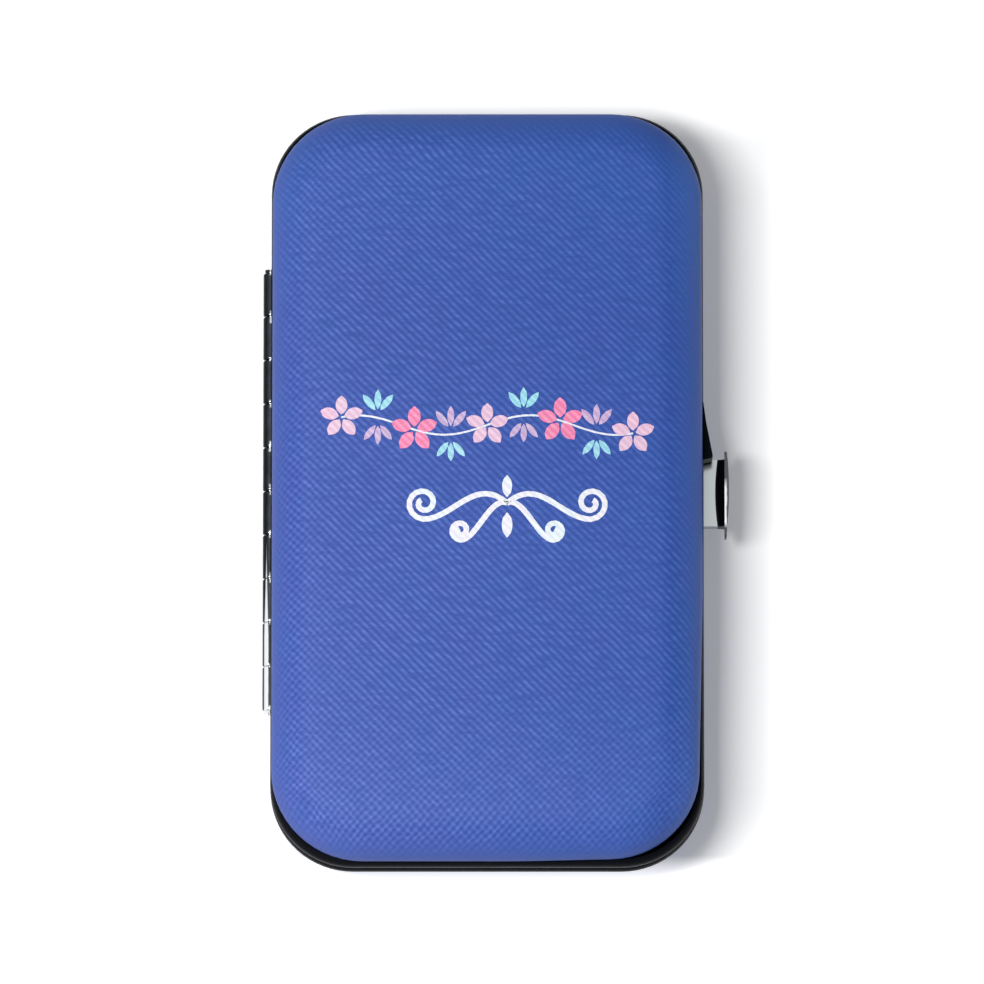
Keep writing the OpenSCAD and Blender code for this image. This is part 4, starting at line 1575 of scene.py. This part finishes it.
def cut_size(piece: Piece) -> tuple[float, float]:
    """Reads the size that a skin was cut to from its unrolled map.

    Args:
        piece: a skin with its flat map, in metres.

    Returns:
        Width and length before it was stretched over its form.
    """
    across, along = zip(*(spot.uv for spot in piece.data.uv_layers["Unrolled"].data))
    return max(across) - min(across), max(along) - min(along)


@dataclass
class Case:
    """The whole case, made half by half."""

    lid: PaddedHalf
    base: PaddedHalf
    tray: Tray
    pocket: tuple[Vector, Vector] = (Vector((27.1, -6.5, 7.7)) * MM, Vector((34.0, 6.5, 11.5)) * MM)

    def shells(self) -> None:
        """Builds covers, pads and linings of both halves."""
        grain = CrossGrain().make()
        foam = Mottled("open_foam", (0.70, 0.68, 0.60), (0.84, 0.82, 0.75), 0.95, 2600, 0.15 * MM, 0.2).make()
        nap = Nap("black_pile", (0.010, 0.010, 0.012), (0.035, 0.035, 0.042)).make()
        for half in (self.lid, self.base):
            body = half.half.value
            cover = half.cover()
            if half.half is Half.BASE:
                cut(cover, *self.pocket)
            else:
                self.printed(cover)
            settle(cover, grain, body, "cover", f"{body}_cover")
            cut_size(cover)
            pad = half.padding()
            settle(pad, foam, body, "foam", f"{body}_padding")
            lining = half.inside()
            if half.half is Half.BASE:
                cut(lining, *self.pocket)
            settle(lining, nap, body, "lining", f"{body}_lining")
            cut_size(lining)

    def printed(self, cover: Piece) -> None:
        """Prints the generic ornament on the lid's cover.

        Args:
            cover: the lid's finished cover.
        """
        inks = {
            "pink": ((226, 118, 160), (248, 146, 184), (255, 172, 202)),
            "blush": ((216, 178, 205), (233, 197, 218), (244, 214, 230)),
            "aqua": ((140, 200, 220), (165, 222, 234), (188, 236, 244)),
            "lilac": ((182, 158, 200), (204, 180, 212), (222, 202, 226)),
            "white": ((218, 222, 236), (236, 238, 244), (250, 250, 252)),
        }
        # The inks leave out the painted light and shade across the cover, and keep the painted light and tint
        # along it.
        plain = dict.fromkeys(("painted_light_left", "painted_shade_right", "painted_light_right_edge"), (1.0, 1.0, 1.0))
        made = {ink: CrossGrain(f"{ink}_ink", *(linear(*tone) for tone in tones), **plain).make()
                for ink, tones in inks.items()}
        for film, ink in Print(cover).build():
            settle(film, made[ink], "lid", "cover")

    def inside(self) -> None:
        """Builds the tray's cloth, foam, straps and stitches."""
        nap = Nap("tray_pile", (0.012, 0.012, 0.014), (0.042, 0.042, 0.050)).make()
        foam = Mottled("tray_open_foam", (0.66, 0.64, 0.57), (0.80, 0.78, 0.71), 0.95, 2400,
                       0.15 * MM, 0.2).make()
        elastic = RibbedElastic().make()
        thread = Mottled("waxed_thread", (0.020, 0.020, 0.024), (0.060, 0.060, 0.068), 0.6, 9000,
                         0.02 * MM).make()
        cloth = self.tray.facing()
        settle(cloth, nap, "base", "lining", "tray_facing")
        cut_size(cloth)
        pad = self.tray.foam()
        settle(pad, foam, "base", "foam", "tray_foam")
        for end, y in (("far", self.tray.strap_at), ("near", -self.tray.strap_at)):
            settle(self.tray.strap(f"elastic_strap_{end}", y), elastic, "base", "elastic", f"strap_{end}")
            settle(self.tray.stitches(f"strap_{end}_stitches", y), thread, "base", "elastic")

    def metalwork(self) -> None:
        """Gives the CAD's own metal, board and plastic parts their finishes."""
        finish_of = {
            "frame": RimPaint(),
            "bright_steel": Metal("bright_chrome", (0.80, 0.81, 0.83), 0.07),
            "hinge_steel": SmokedPlating(),
            "plain_steel": Metal("plain_steel", (0.56, 0.57, 0.58), 0.28, 0.15),
            "tool_steel": Metal("polished_tool_steel", (0.50, 0.51, 0.53), 0.16, 0.10),
            "board": Mottled("grey_board", (0.22, 0.20, 0.17), (0.30, 0.28, 0.24), 0.9, 1800, 0.04 * MM, 0.2),
            "handle": Mottled("black_moulded_grip", (0.010, 0.010, 0.012), (0.020, 0.020, 0.023), 0.42, 3000,
                              0.01 * MM),
            "button_stem": ButtonChrome(),
            "button_face": ThumbPlate(),
            "file_blade": FileCut(),
        }
        made = {name: finish.make() for name, finish in finish_of.items()}
        for row in frame["record"]["subparts"]:
            finish = made.get(row["node"], made.get(row["material_slot"]))
            if finish:
                dress(frame["nodes"][row["node"]], finish)


def main() -> None:
    """Builds the scene in order."""
    logging.basicConfig(level=logging.INFO, format="%(message)s")
    bpy.context.scene.view_settings.view_transform = "Standard"
    studio = Studio()
    studio.camera()
    studio.light()
    studio.floor()
    case = Case(
        lid=PaddedHalf(Half.LID, depth=11.3 * MM, seam=11.2 * MM, crown=1.9 * MM, setback=0.20 * MM,
                       end_gap=0.35 * MM, slack=0.55 * MM),
        base=PaddedHalf(Half.BASE, depth=11.0 * MM, seam=11.0 * MM, crown=0.0, setback=0.7 * MM,
                        foam=1.0 * MM),
        tray=Tray(tools=tool_boxes()),
    )
    case.shells()
    case.inside()
    case.metalwork()


if __name__ == "__main__":
    main()
